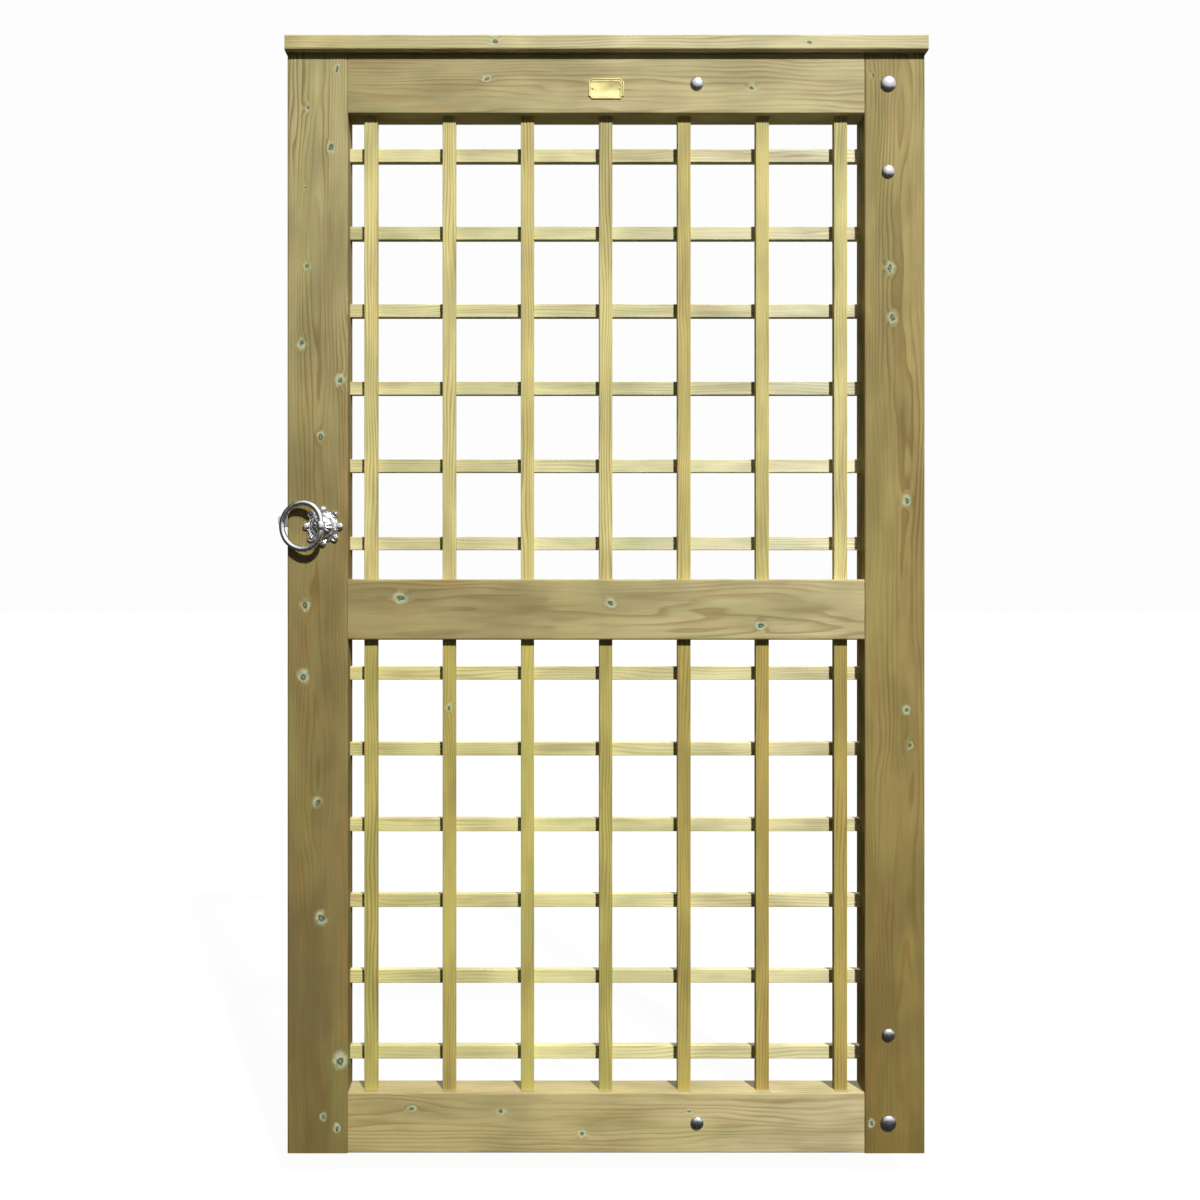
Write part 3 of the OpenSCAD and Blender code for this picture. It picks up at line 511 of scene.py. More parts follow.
def solids_of(node):
    """The lowest and highest corners of each separate solid of a CAD node, in metres."""
    shape = bmesh.new()
    shape.from_mesh(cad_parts[node].data)
    bmesh.ops.remove_doubles(shape, verts=shape.verts, dist=1e-6)
    seen, boxes = set(), []
    for start in shape.verts:
        if start in seen:
            continue
        seen.add(start)
        waiting, island = [start], []
        while waiting:
            vert = waiting.pop()
            island.append(vert.co.copy())
            for edge in vert.link_edges:
                other = edge.other_vert(vert)
                if other not in seen:
                    seen.add(other)
                    waiting.append(other)
        low = Vector([min(p[i] for p in island) for i in range(3)])
        high = Vector([max(p[i] for p in island) for i in range(3)])
        boxes.append((low, high))
    shape.free()
    return sorted(boxes, key=lambda b: (round(b[0].x, 4), round(b[0].z, 4)))


def places_of(node, y):
    """Where the axis of each solid of a node meets the plane at that depth."""
    return [Vector(((low.x + high.x) / 2, y, (low.z + high.z) / 2)) for low, high in solids_of(node)]


def points_tree():
    """Geometry nodes that stand one shape on every point, each turned a step further about Y."""
    name = "stand shape on points"
    if name in bpy.data.node_groups:
        return bpy.data.node_groups[name]
    tree = bpy.data.node_groups.new(name, "GeometryNodeTree")
    for label, kind in (
        ("Points", "NodeSocketGeometry"),
        ("Shape", "NodeSocketObject"),
        ("Turn step", "NodeSocketFloat"),
        ("Finish", "NodeSocketMaterial"),
    ):
        tree.interface.new_socket(label, in_out="INPUT", socket_type=kind)
    tree.interface.new_socket("Geometry", in_out="OUTPUT", socket_type="NodeSocketGeometry")
    given = add_node(tree, "NodeGroupInput").node.outputs
    shape = add_node(tree, "GeometryNodeObjectInfo", {"Object": given["Shape"]}, "Geometry")
    number = add_node(tree, "GeometryNodeInputIndex")
    angle = add_node(tree, MATH, {0: number, 1: given["Turn step"]}, operation="MULTIPLY")
    euler = add_node(tree, "ShaderNodeCombineXYZ", {1: angle})
    turn = add_node(tree, "FunctionNodeEulerToRotation", {0: euler})
    stand = {"Points": given["Points"], "Instance": shape, "Rotation": turn}
    stood = add_node(tree, "GeometryNodeInstanceOnPoints", stand)
    real = add_node(tree, "GeometryNodeRealizeInstances", {0: stood})
    coated = add_node(tree, "GeometryNodeSetMaterial", {"Geometry": real, "Material": given["Finish"]})
    add_node(tree, "NodeGroupOutput", {0: coated})
    return tree


def repeated(name, shape, places, material, turn_step=0.0):
    """Stands a shape on each place with geometry nodes, and returns the plain mesh of them all."""
    mesh = bpy.data.meshes.new(name)
    mesh.from_pydata([tuple(p) for p in places], [], [])
    carrier = in_scene(name + "_points", mesh)
    modifier = carrier.modifiers.new("stand", "NODES")
    modifier.node_group = points_tree()
    given = {"Shape": shape, "Turn step": turn_step, "Finish": material}
    for item in modifier.node_group.interface.items_tree:
        if item.in_out == "INPUT" and item.name in given:
            modifier[item.identifier] = given[item.name]
    graph = bpy.context.evaluated_depsgraph_get()
    plain = bpy.data.meshes.new_from_object(carrier.evaluated_get(graph))
    bpy.data.objects.remove(carrier)
    bpy.data.objects.remove(shape)
    plain.name = name
    return in_scene(name, plain)


def stands_for(piece, body, slot, *nodes):
    """Hands a finished piece to its body and hides the CAD nodes that it stands for. Its slot is not used."""
    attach(piece, body)
    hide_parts(*nodes)


def domed_head(radius, height, edge):
    """Profile of a low dome with a short upright edge, from its rim to its crown."""
    steps = 12
    return [(radius, 0.0)] + [
        (radius * math.cos(k * TURN / 4 / steps), edge + (height - edge) * math.sin(k * TURN / 4 / steps))
        for k in range(steps)
    ] + [(radius * 0.02, height)]


# ---- Timber ----


def knots_of(node, grain, *spots):
    """Knots given in millimetres along and across a member from its lower left corner, with their radius."""
    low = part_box(node)[0]
    along, across = (low.z, low.x) if grain == "Z" else (low.x, low.z)
    return [(along + a * MM, across + c * MM, r * MM) for a, c, r in spots]


class GATE_OT_frame_timber(bpy.types.Operator):
    """Gives the stiles, rails and wedges their treated softwood, each with its own grain and knots"""

    bl_idname = "gate.frame_timber"
    bl_label = "Frame timber"

    def execute(self, context):
        t = context.scene.gate_timber
        # Each member: its grain, its three tones, its pith across the face and behind it, and its knots
        boards = {
            "latch_stile": ("Z", (t.latch_foot, t.latch_middle, t.latch_head), (48, 20), (
                (1577, 69, 4), (1392, 31, 3), (1270, 22, 4), (1212, 83, 4), (1124, 53, 4), (860, 28, 4),
                (747, 25, 5), (550, 48, 4), (369, 53, 5), (145, 83, 6), (40, 78, 3), (58, 57, 3),
                (1640, 32, 3), (1700, 78, 3), (1515, 29, 2),
            )),
            "hanging_stile": ("Z", (t.hanging_foot, t.hanging_middle, t.hanging_head), (62, 32), (
                (1388, 40, 4), (1311, 44, 4), (1024, 66, 4), (695, 66, 3), (640, 71, 3), (48, 11, 3),
                (1690, 14, 2),
            )),
            "top_rail": ("X", (t.top_latch, t.top_middle, t.top_hinge), (-40, 130), (
                (313, 55, 3), (728, 40, 3),
            )),
            "middle_rail": ("X", (t.middle_latch, t.middle_middle, t.middle_hinge), (30, 95), (
                (178, 66, 5), (507, 58, 4), (742, 23, 4),
            )),
            "bottom_rail": ("X", (t.bottom_latch, t.bottom_middle, t.bottom_hinge), (110, 110), (
                (335, 66, 3), (462, 31, 3), (195, 70, 3), (630, 66, 2),
            )),
        }
        for number, (node, (grain, tones, pith, knots)) in enumerate(boards.items()):
            low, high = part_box(node)
            span = (low.z, high.z) if grain == "Z" else (low.x, high.x)
            edge = low.x if grain == "Z" else low.z
            pith = (edge + pith[0] * MM, FRONT + pith[1] * MM)
            wood = treated_softwood(
                "treated pine, " + node.replace("_", " "), grain, tones, pith, span,
                knots_of(node, grain, *knots), seed=1.0 + number, contrast=0.75 if grain == "Z" else 0.5,
            )
            dress(wood, node)
        tones = (t.latch_middle, t.hanging_middle, t.latch_foot)
        span = (leaf_low.x, leaf_high.x)
        wedge = treated_softwood("treated pine wedge", "X", tones, (300 * MM, 200 * MM), span, seed=9.0)
        dress(wedge, "tenon_wedges")
        return {"FINISHED"}


class GATE_OT_capping(bpy.types.Operator):
    """Gives the capping rail its paler softwood"""

    bl_idname = "gate.capping"
    bl_label = "Capping rail"

    def execute(self, context):
        t = context.scene.gate_timber
        low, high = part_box("cap_rail")
        tones = (t.cap_latch, t.cap_middle, t.cap_hinge)
        pith = (low.z - 50 * MM, low.y + 30 * MM)
        knots = knots_of("cap_rail", "X", (328, 13, 3), (818, 12, 3))
        wood = treated_softwood("treated pine capping", "X", tones, pith, (low.x, high.x), knots, seed=6.0)
        dress(wood, "cap_rail")
        return {"FINISHED"}


class GATE_OT_trellis(bpy.types.Operator):
    """Gives the laths of both panels their pale softwood, each lath with its own grain and tone"""

    bl_idname = "gate.trellis"
    bl_label = "Trellis laths"

    def execute(self, context):
        t = context.scene.gate_timber
        # Each row of laths: its panel and kind, its grain, the axis that it steps along, its tones
        # and how strongly its late wood shows
        looks = (
            ("upper", "upright", "Z", 0, (t.upper_upright_pale, t.upper_upright_deep), 0.6),
            ("lower", "upright", "Z", 0, (t.lower_upright_pale, t.lower_upright_deep), 0.6),
            # The crossbars' tones are the wood's pale tone with painted light over it, paler towards the hinge
            # end
            ("upper", "crossbar", "X", 2, (t.upper_bar_latch_shaded, t.upper_bar_middle, t.upper_bar_hinge_lit), 0.35),
            ("lower", "crossbar", "X", 2, (t.lower_bar_latch_shaded, t.lower_bar_middle, t.lower_bar_hinge_lit), 0.35),
        )
        for number, (panel, kind, grain, axis, tones, contrast) in enumerate(looks):
            laths = sorted(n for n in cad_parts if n.startswith(f"{panel}_{kind}"))
            middles = [(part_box(n)[0][axis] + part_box(n)[1][axis]) / 2 for n in laths]
            row = (middles[0], (middles[-1] - middles[0]) / (len(laths) - 1))
            # The crossbars are graded across the whole leaf: painted light, paler towards the hinge end
            span = (leaf_low.x, leaf_high.x) if kind == "crossbar" else None
            knots = ()
            if (panel, kind) == ("lower", "upright"):
                knots = [(leaf_low.z + 697 * MM, middles[1], 3 * MM)]
            wood = treated_softwood(
                f"treated pine {kind}s, {panel} panel", grain, tones, (20 * MM, -30 * MM), span, knots,
                lath_row=row, seed=11.0 + number, contrast=contrast,
            )
            dress(wood, *laths)
        dress(zinc_finish("dull"), "upper_trellis_pins", "lower_trellis_pins")
        return {"FINISHED"}


# ---- Plaque ----


def plaque_loop(half_w, half_h, notch, inset, depth, corner_steps=8):
    """The outline of a plate with four hollow corners, drawn in by inset at one depth."""
    loop = []
    radius = notch + inset
    for sx, sz, start in ((1, 1, 270), (-1, 1, 0), (-1, -1, 90), (1, -1, 180)):
        for k in range(corner_steps + 1):
            swing = k / corner_steps
            angle = math.radians(start - 90 * swing)
            # The arc is cut where it meets the plate's inset sides
            x = sx * half_w + radius * math.cos(angle)
            z = sz * half_h + radius * math.sin(angle)
            x = max(-half_w + inset, min(half_w - inset, x))
            z = max(-half_h + inset, min(half_h - inset, z))
            loop.append((x, z, depth))
    return loop


class GATE_OT_plaque(bpy.types.Operator):
    """Makes the blank brass plaque with its raised, rounded border, and gives its two pins brass"""

    bl_idname = "gate.plaque"
    bl_label = "Plaque"

    def execute(self, context):
        low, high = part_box("plaque")
        middle = (low + high) / 2
        half_w, half_h = (high.x - low.x) / 2, (high.z - low.z) / 2
        thick = high.y - low.y
        # Inset in millimetres and share of the thickness, from the rim to the sunk field: a rounded
        # edge, the raised border, a groove and a fine bead
        steps = (
            (0.0, 0.0), (0.0, 0.7), (0.25, 0.93), (0.7, 1.0), (1.4, 1.0), (1.9, 0.9),
            (2.2, 0.6), (2.9, 0.52), (3.3, 0.66), (3.7, 0.66), (4.1, 0.54),
        )
        notch = 4.5 * MM  # radius of the hollow corners
        loops = [plaque_loop(half_w, half_h, notch, inset * MM, share * thick) for inset, share in steps]
        place = Matrix.Translation((middle.x, high.y, middle.z)) @ TO_FRONT
        brass = pressed_brass()
        plaque = new_piece("plaque_pressed", *loft(loops), brass, place)
        stands_for(plaque, "leaf", "plaque_brass", "plaque")
        dress(brass, "plaque_pins")
        return {"FINISHED"}


# ---- Bolts ----


def hexagon_radius(flat, angle):
    """From the middle of a hexagon to its side, where flat is half its width across the flats."""
    sector = TURN / 6
    return flat / math.cos((angle % sector) - sector / 2)


def nut_shape(bore, flat, height, steps=72):
    """A hexagon nut with its corners chamfered at both faces and its bore countersunk."""
    rim, mouth = flat * 0.97, bore * 1.15
    corners = [hexagon_radius(flat, j * TURN / steps) for j in range(steps)]
    chamfers = [max(0, r - rim) * 0.5 for r in corners]
    inside = [(mouth, 0.0), (bore, 0.08 * height), (bore, 0.92 * height), (mouth, height), (rim, height)]
    loops = [[spot] * steps for spot in inside]
    loops.append([(r, height - fall) for r, fall in zip(corners, chamfers)])
    loops.append(list(zip(corners, chamfers)))
    loops += [[(rim, 0.0)] * steps, [(mouth, 0.0)] * steps]
    return loft([around(loop) for loop in loops], closed_ends=False)


def washer_shape(bore, radius, height):
    """A pressed washer, slightly rounded at its rim."""
    profile = (
        (bore, 0.0), (bore, height), (radius * 0.95, height), (radius, height * 0.7),
        (radius, height * 0.3), (radius * 0.95, 0.0), (bore, 0.0),
    )
    return turned(profile, closed_ends=False)


class GATE_OT_bolts(bpy.types.Operator):
    """Makes the cup-headed bolts with their threaded ends, washers and hexagon nuts"""

    bl_idname = "gate.bolts"
    bl_label = "Bolts"

    def execute(self, context):
        plated = zinc_finish("bright")
        for kind, pitch in (("corner", 1.5 * MM), ("band", 1.25 * MM)):
            bolt_node, washer_node, nut_node = kind + "_bolts", kind + "_washers", kind + "_nuts"
            low, high = solids_of(bolt_node)[0]
            washer_low, washer_high = solids_of(washer_node)[0]
            nut_low, nut_high = solids_of(nut_node)[0]
            half_x, half_z = (nut_high.x - nut_low.x) / 2, (nut_high.z - nut_low.z) / 2
            # A nut is 1.9 times as wide across its flats as its bolt is thick
            shank = min(half_x, half_z * math.cos(TURN / 12)) / 1.9

            # The head is a shallow cup on a short upright edge; the shank stays inside the timber
            rise = FRONT - low.y
            profile = [(shank, -(BACK - FRONT))] + domed_head((high.x - low.x) / 2, rise, rise * 0.12)
            bolt = new_piece("bolt", *turned(profile, 64), plated, TO_FRONT)
            heads = repeated(kind + "_bolt_heads", bolt, places_of(bolt_node, FRONT), plated)
            stands_for(heads, "leaf", "bright_zinc", bolt_node)

            # The thread is drawn as even grooves
            start, end = washer_low.y - BACK, high.y - BACK
            thread = [(shank * 0.9, start)]
            for k in range(int((end - start) / pitch)):
                thread += [(shank, start + (k + 0.35) * pitch), (shank * 0.88, start + (k + 0.85) * pitch)]
            thread += [(shank * 0.8, end)]
            stud = new_piece("thread", *turned(thread, 32), plated, TO_BACK)
            studs = repeated(kind + "_bolt_ends", stud, places_of(bolt_node, BACK), plated)
            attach(studs, "leaf")

            shape = nut_shape(shank * 1.02, min(half_x, half_z), nut_high.y - nut_low.y)
            nut = new_piece("nut", *shape, plated, TO_BACK)
            # Each nut was stopped at an angle of its own
            nuts = repeated(kind + "_hexagon_nuts", nut, places_of(nut_node, nut_low.y), plated, turn_step=0.7)
            stands_for(nuts, "leaf", "bright_zinc", nut_node)

            across, through = washer_high.x - washer_low.x, washer_high.y - washer_low.y
            washer = new_piece("washer", *washer_shape(shank * 1.05, across / 2, through), plated, TO_BACK)
            places = places_of(washer_node, washer_low.y)
            washers = repeated(kind + "_pressed_washers", washer, places, plated)
            stands_for(washers, "leaf", "bright_zinc", washer_node)
        return {"FINISHED"}


# ---- Screws ----


def screw_head(radius, height, shank, length):
    """A round screw head with a cross recess, on a plain shank that runs down into the wood."""
    arm, half = radius * 0.62, radius * 0.13

    def top(r, a):
        x, y = abs(r * math.cos(a)), abs(r * math.sin(a))
        crown = height * math.sqrt(max(0.0, 1 - (r / radius) ** 2 * 0.92))
        inside = max(min(arm - x, half - y), min(arm - y, half - x))
        return crown - height * 0.55 * max(0.0, min(1.0, inside / (half * 0.4)))

    points, faces = polar_solid(lambda a: radius, top, rings=16, steps=64)
    extra, more = turned([(shank * 0.2, -length), (shank, -length * 0.8), (shank, 0.02 * MM)], 16)
    count = len(points)
    return points + extra, faces + [tuple(i + count for i in face) for face in more]


class GATE_OT_screws(bpy.types.Operator):
    """Makes the round-headed screws of the rose and the guide, and coats the countersunk ones"""

    bl_idname = "gate.screws"
    bl_label = "Screws"

    def execute(self, context):
        dull = zinc_finish("dull")
        # Each kind: its node, its name, the face that it stands on, its way out and its head's radius
        jobs = (
            ("rose_screws", "rose_screw_heads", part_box("front_rose")[0].y, TO_FRONT, 3.2 * MM),
            ("guide_screws", "guide_screw_heads", BACK + GUIDE_PLATE, TO_BACK, 3.8 * MM),
        )
        for node, name, face, way_out, radius in jobs:
            low, high = solids_of(node)[0]
            height, length = high.y - face, face - low.y
            if way_out == TO_FRONT:
                height, length = length, height
            shape = new_piece("screw", *screw_head(radius, height, radius * 0.5, length), dull, way_out)
            heads = repeated(name, shape, places_of(node, face), dull, turn_step=0.9)
            stands_for(heads, "leaf", "dull_zinc", node)
        dress(dull, "rear_rose_screws", "bar_screw", "cap_screws", "spindle_bar")
        return {"FINISHED"}


# ---- Ring latch ----


class GATE_OT_rose(bpy.types.Operator):
    """Makes the cast front rose with eight petals, four of them cupped for their screws"""

    bl_idname = "gate.rose"
    bl_label = "Front rose"

    def execute(self, context):
        low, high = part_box("front_rose")
        thick = high.y - low.y
        circle = (high.x - low.x) / 2 - PETAL
        disc = circle - 2 * MM
        sector = TURN / 8

        def off_axis(a):
            return (a + sector / 2) % sector - sector / 2

        def outline(a):
            side = circle * math.sin(off_axis(a))
            if abs(side) >= PETAL:
                return disc
            return max(disc, circle * math.cos(off_axis(a)) + math.sqrt(PETAL**2 - side**2))

        def height(r, a):
            across, out = r * math.sin(off_axis(a)), r * math.cos(off_axis(a))
            from_petal = math.hypot(across, out - circle) / PETAL
            edge = max(0.0, min(1.0, (outline(a) - r) / (1.2 * MM)))
            rim = thick * (0.35 + 0.65 * math.sqrt(1 - (1 - edge) ** 2))
            if from_petal < 1.0 and round(a / sector) % 2 == 0:
                return rim + 1.4 * MM * (1 - from_petal**4)
            if from_petal < 1.0:
                # A cupped petal has a raised lip round its screw
                return rim + 0.9 * MM * max(0.0, 1 - ((from_petal - 0.82) / 0.18) ** 2)
            # A groove runs round the disc at a radius of 21 mm
            return rim - 1.3 * MM * math.exp(-((r - 21 * MM) / (1.6 * MM)) ** 2)

        points, faces = polar_solid(outline, height, rings=40, steps=256, bore=ROSE_BORE)
        place = Matrix.Translation((spindle.x, high.y, spindle.z)) @ TO_FRONT
        rose = new_piece("rose_cast", points, faces, zinc_finish("cast"), place, sharp=math.radians(50))
        stands_for(rose, "leaf", "galvanised_iron", "front_rose")
        return {"FINISHED"}


class GATE_OT_boss(bpy.types.Operator):
    """Makes the cast boss: a fluted dome whose lug the ring passes through"""

    bl_idname = "gate.boss"
    bl_label = "Ring boss"

    def execute(self, context):
        metal = context.scene.gate_metal
        bar = metal.ring_bar / 2
        cast = zinc_finish("cast")
        low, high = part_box("ring_boss")
        radius = (high.x - low.x) / 2
        ring_y = low.y + RING_SET_IN
        foot = FRONT - DOME_FOOT
        depth = foot - (ring_y + bar)
        at_foot = Matrix.Translation((spindle.x, foot, spindle.z)) @ TO_FRONT
        at_ring = Matrix.Translation((spindle.x, ring_y, spindle.z))

        def wave(a):
            """From 0 to 1, twelve times round: the flutes."""
            return 0.5 + 0.5 * math.cos(12 * a)

        def outline(a):
            return radius * (1 - 0.05 * wave(a))

        def height(r, a):
            share = min(1.0, r / outline(a))
            flute = 0.7 * MM * wave(a) * math.sin(math.pi * share) ** 2
            return 1.2 * MM + (depth - 1.6 * MM) * math.sqrt(max(0.0, 1 - share**2.4)) - flute

        dome = new_piece("dome", *polar_solid(outline, height, rings=28, steps=192), cast, at_foot)
        # The lug is a barrel round the ring's pin, fullest in its middle
        half = metal.ring_pin / 2 - 0.3 * MM
        shares = (-1, -0.9, -0.7, -0.4, 0, 0.4, 0.7, 0.9, 1)
        barrel = [(7.2 * MM - 1.1 * MM * (abs(t) ** 3), half * t) for t in shares]
        end = 4.6 * MM
        lug = new_piece("lug", *turned([(end, -half), *barrel, (end, half)]), cast, at_ring)
        neck = [(8.5 * MM, 0.0), (6.3 * MM, depth * 0.5), (5.6 * MM, depth + 2 * MM)]
        neck = new_piece("neck", *turned(neck), cast, at_foot)
        # The journal starts 3 mm inside the dome and runs back as far as the CAD's
        overlap = 3 * MM
        shaft = turned([(JOURNAL, 0.0), (JOURNAL, foot - high.y + overlap)], 64)
        at_overlap = Matrix.Translation((spindle.x, foot + overlap, spindle.z)) @ TO_FRONT
        journal = new_piece("journal", *shaft, cast, at_overlap)
        bore = bar + 0.1 * MM
        drill = new_piece("drill", *turned([(bore, -20 * MM), (bore, 20 * MM)], 64), cast, at_ring)
        boss = self.fused([dome, lug, neck], drill, journal)
        stands_for(boss, "latch", "galvanised_iron", "ring_boss")
        return {"FINISHED"}

    def fused(self, parts, drill, journal):
        """Melts the cast parts into one skin, as a casting's fillets do, and drills the lug."""
        merged = bpy.data.meshes.new("boss_cast")
        join(merged, parts)
        boss = in_scene("boss_cast", merged)
        remesh = boss.modifiers.new("melt", "REMESH")
        remesh.mode = "VOXEL"
        remesh.voxel_size = 0.35 * MM
        remesh.use_smooth_shade = True
        smooth = boss.modifiers.new("fillet", "SMOOTH")
        smooth.factor = 0.5
        smooth.iterations = 12
        cut = boss.modifiers.new("drill", "BOOLEAN")
        cut.object = drill
        cut.operation = "DIFFERENCE"
        cut.solver = "EXACT"
        graph = bpy.context.evaluated_depsgraph_get()
        plain = bpy.data.meshes.new_from_object(boss.evaluated_get(graph))
        join(plain, [journal])
        plain.materials.clear()
        plain.materials.append(zinc_finish("cast"))
        bpy.data.objects.remove(boss)
        bpy.data.objects.remove(drill)
        return in_scene("boss_cast", plain)


class GATE_OT_ring(bpy.types.Operator):
    """Makes the forged ring, one bar bent round with the faint flats that forging leaves"""

    bl_idname = "gate.ring"
    bl_label = "Ring"

    def execute(self, context):
        metal = context.scene.gate_metal
        low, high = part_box("ring")
        bar = metal.ring_bar / 2
        outer = (high.z - low.z) / 2 - bar
        pin = metal.ring_pin / 2
        grip = outer - pin
        pivot = Vector((spindle.x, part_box("ring_boss")[0].y + RING_SET_IN, spindle.z))
        # The ring leans as far as brings its far side to where the CAD's box has it
        lean = math.acos(min(1.0, abs(low.x + bar - pivot.x) / (grip + outer)))
        path = self.outline(outer, grip, pin)
        loops = []
        for k, (spot, out) in enumerate(path):
            share = k * TURN / len(path)
            beat = 1 + 0.012 * math.sin(9 * share) + 0.008 * math.sin(17 * share + 1)
            thick = bar * (beat if abs(spot.x) > 2 * MM else 1.0)
            section = around([(thick, 0.0)] * 24)
            loops.append([spot + out * x + Vector((0, y, 0)) for x, y, _ in section])
        points, faces = loft(loops + [loops[0]], closed_ends=False)
        place = Matrix.Translation(pivot) @ Matrix.Rotation(-lean, 4, "Z")
        ring = new_piece("ring_forged", points, faces, zinc_finish("cast"), place)
        stands_for(ring, "ring", "galvanised_iron", "ring")
        return {"FINISHED"}

    def outline(self, outer, grip, pin):
        """Points along the bar's centre line with their outward directions, from the top of the pin."""
        path = []
        arcs = (
            (Vector((-grip, 0, pin)), grip, 0, 90, 24),
            (Vector((-grip, 0, 0)), outer, 90, 270, 72),
            (Vector((-grip, 0, -pin)), grip, 270, 360, 24),
        )
        for centre, radius, start, end, steps in arcs:
            for k in range(steps):
                a = math.radians(start + (end - start) * k / steps)
                out = Vector((math.cos(a), 0, math.sin(a)))
                path.append((centre + out * radius, out))
        for k in range(6):
            path.append((Vector((0, 0, -pin + 2 * pin * k / 6)), Vector((1, 0, 0))))
        return path


class GATE_OT_rear_iron(bpy.types.Operator):
    """Coats the hinges, the latch bar, its guide and the rear rose"""

    bl_idname = "gate.rear_iron"
    bl_label = "Rear ironwork"

    def execute(self, context):
        dress(
            zinc_finish("strip"), "upper_hinge_band", "lower_hinge_band", "upper_hinge_hook",
            "lower_hinge_hook", "latch_bar", "bar_guide", "rear_rose",
        )
        return {"FINISHED"}


# ---- Stage ----


def pale_floor(name):
    """Matt painted studio floor, seen nearly white, that throws little of the light back up."""
    material, tree = new_material(name)
    coords = add_node(tree, "ShaderNodeTexCoord", out="Object")
    cloud = add_node(tree, NOISE, {"Vector": coords, "Scale": 0.8, "Detail": 2.0})
    seen = add_node(tree, "ShaderNodeLightPath", out="Is Camera Ray")
    tones = {0: cloud, 6: opaque(linear("#494948")), 7: opaque(linear("#4C4C4B"))}
    paint = add_node(tree, MIX, tones, **OF_COLOURS)
    surface(tree, {
        "Base Color": add_node(tree, MIX, {0: seen, 6: opaque(linear("#2C2C2C")), 7: paint}, **OF_COLOURS),
        "Roughness": 0.9,
        "Specular IOR Level": 0.1,
        "Emission Color": opaque(linear("#FFFFFF")),
        "Emission Strength": add_node(tree, MAP_RANGE, {0: seen, 1: 0.0, 2: 1.0, 3: 0.0, 4: 0.93}),
    })
    return material


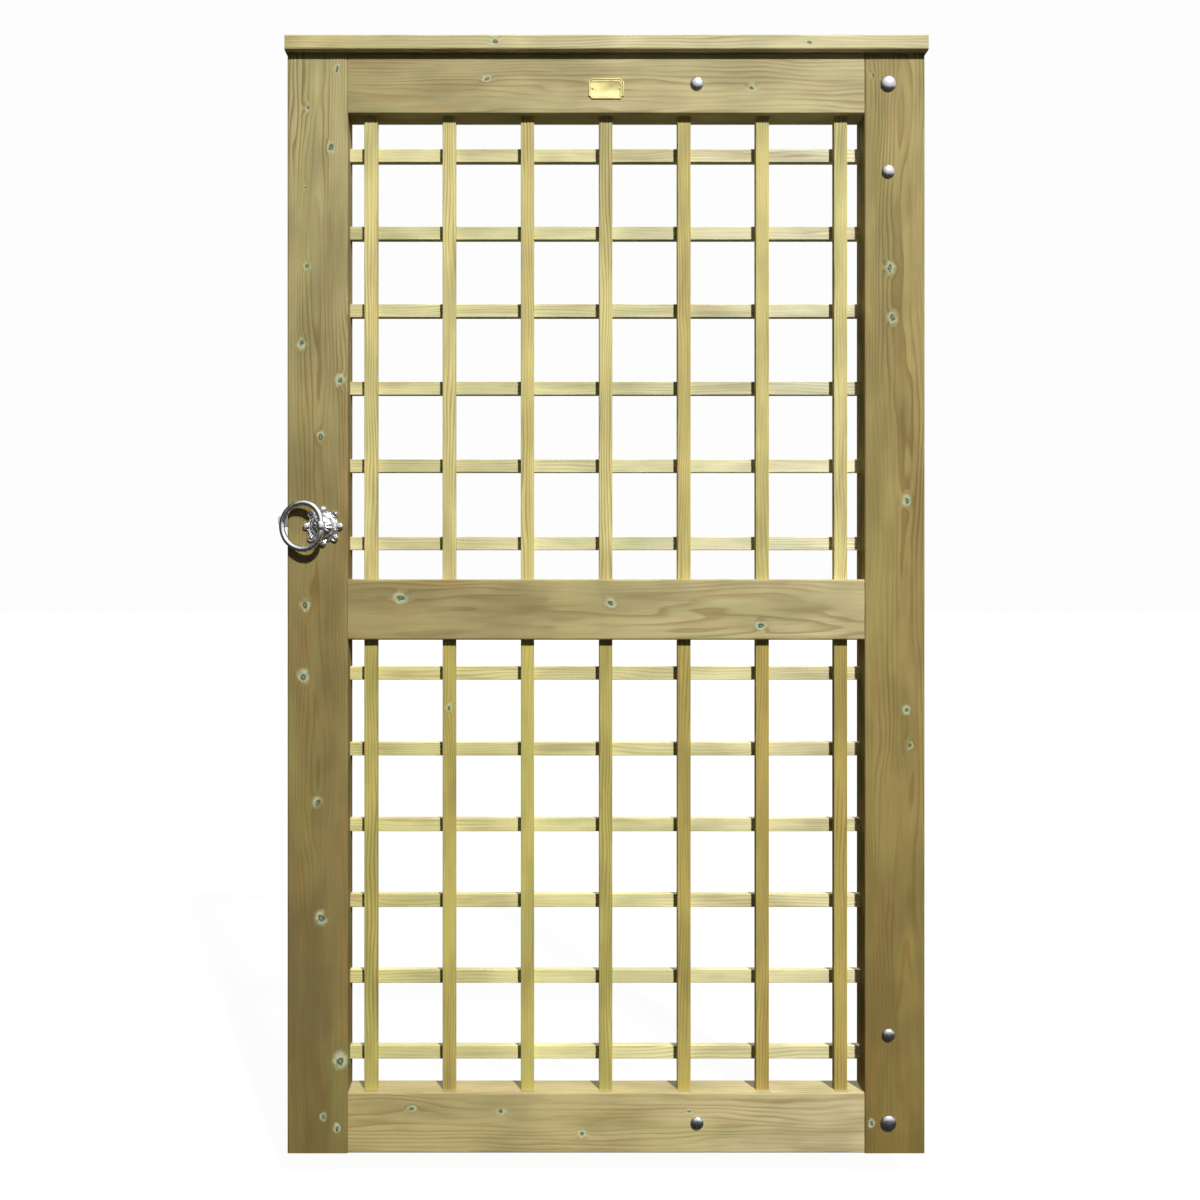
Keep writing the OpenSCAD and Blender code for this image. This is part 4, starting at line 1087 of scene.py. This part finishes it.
class GATE_OT_stage(bpy.types.Operator):
    """Sets the camera, the lights, the white studio round the gate and its pale floor"""

    bl_idname = "gate.stage"
    bl_label = "Stage"

    def execute(self, context):
        scene = context.scene
        stage = scene.gate_stage
        view = bpy.data.cameras.new("camera")
        view.lens = stage.lens
        view.shift_x, view.shift_y = stage.shift_x, stage.shift_y
        camera = in_scene("camera", view)
        camera.location = (
            leaf_low.x + stage.camera_across, FRONT - stage.camera_back, leaf_low.z + stage.camera_up
        )
        camera.rotation_euler = (math.radians(90), 0, 0)
        scene.camera = camera

        # The key falls from the front, the right and above, and the weaker back light from behind
        self.shine("key", stage.sun, stage.sun_size, (-0.45, 1.0, -1.1))
        self.shine("back_light", stage.back, stage.sun_size * 4, (0.0, -1.0, -0.8))
        self.white_studio(scene, stage)
        reach, floor_z = 30.0, leaf_low.z - stage.floor_gap
        corners = [(-reach, -reach), (reach, -reach), (reach, reach), (-reach, reach)]
        mesh = bpy.data.meshes.new("floor")
        mesh.from_pydata([(x, y, floor_z) for x, y in corners], [], [(0, 1, 2, 3)])
        mesh.materials.append(pale_floor("painted studio floor"))
        in_scene("floor", mesh)
        scene.view_settings.view_transform = "Standard"
        return {"FINISHED"}

    def shine(self, name, strength, size, direction):
        """A far light that travels in one direction."""
        light = bpy.data.lights.new(name, "SUN")
        light.energy = strength
        light.angle = size
        in_scene(name, light).rotation_euler = Vector(direction).to_track_quat("-Z", "Y").to_euler()

    def white_studio(self, scene, stage):
        """A surround that is seen as white, and lights the gate like a ceiling of soft boxes."""
        world = bpy.data.worlds.new("studio")
        scene.world = world
        world.use_nodes = True
        tree = world.node_tree
        tree.nodes.clear()
        path = add_node(tree, "ShaderNodeLightPath").node.outputs
        direction = add_node(tree, "ShaderNodeTexCoord", out="Generated")
        up = add_node(tree, SEPARATE, {0: direction}, 2)
        ceiling = {0: up, 1: 0.1, 2: 0.75, 3: stage.fill * 0.3, 4: stage.fill * 2.2}
        ceiling = add_node(tree, MAP_RANGE, ceiling, **SMOOTH)
        # Shiny metal sees a large soft box at the upper right, and a dim room away from it
        toward = Vector((0.42, -0.48, 0.77))
        facing = add_node(tree, VECTOR_MATH, {0: direction, 1: toward}, "Value", operation="DOT_PRODUCT")
        boxes = add_node(tree, MAP_RANGE, {0: facing, 1: 0.08, 2: 0.74, 3: 0.05, 4: 1.4}, **SMOOTH)
        level = add_node(tree, MIX, {0: path["Is Glossy Ray"], 2: ceiling, 3: boxes})
        level = add_node(tree, MIX, {0: path["Is Camera Ray"], 2: level, 3: 1.0})
        white = {"Color": opaque(linear("#FDFDFD")), "Strength": level}
        add_node(tree, "ShaderNodeOutputWorld", {"Surface": add_node(tree, "ShaderNodeBackground", white)})


# ---- Panel and registration ----

OPERATORS = (
    GATE_OT_frame_timber, GATE_OT_capping, GATE_OT_trellis, GATE_OT_plaque, GATE_OT_bolts, GATE_OT_screws,
    GATE_OT_rose, GATE_OT_boss, GATE_OT_ring, GATE_OT_rear_iron, GATE_OT_stage,
)


class GATE_PT_looks(bpy.types.Panel):
    """Lists the gate's operators and its settings"""

    bl_idname = "GATE_PT_looks"
    bl_label = "Garden Gate"
    bl_space_type = "VIEW_3D"
    bl_region_type = "UI"
    bl_category = "Garden Gate"

    def draw(self, context):
        for operator in OPERATORS:
            self.layout.operator(operator.bl_idname)
        for group in (context.scene.gate_timber, context.scene.gate_metal, context.scene.gate_stage):
            column = self.layout.box().column()
            for name in group.bl_rna.properties.keys():
                if name not in ("rna_type", "name"):
                    column.prop(group, name)


GROUPS = (GateTimberSettings, GateMetalSettings, GateStageSettings)


def register():
    for kind in (*GROUPS, *OPERATORS, GATE_PT_looks):
        bpy.utils.register_class(kind)
    bpy.types.Scene.gate_timber = PointerProperty(type=GateTimberSettings)
    bpy.types.Scene.gate_metal = PointerProperty(type=GateMetalSettings)
    bpy.types.Scene.gate_stage = PointerProperty(type=GateStageSettings)


def unregister():
    del bpy.types.Scene.gate_timber
    del bpy.types.Scene.gate_metal
    del bpy.types.Scene.gate_stage
    for kind in reversed((*GROUPS, *OPERATORS, GATE_PT_looks)):
        bpy.utils.unregister_class(kind)


def main():
    register()
    for operator in OPERATORS:
        group, name = operator.bl_idname.split(".")
        getattr(getattr(bpy.ops, group), name)()


if __name__ == "__main__":
    main()
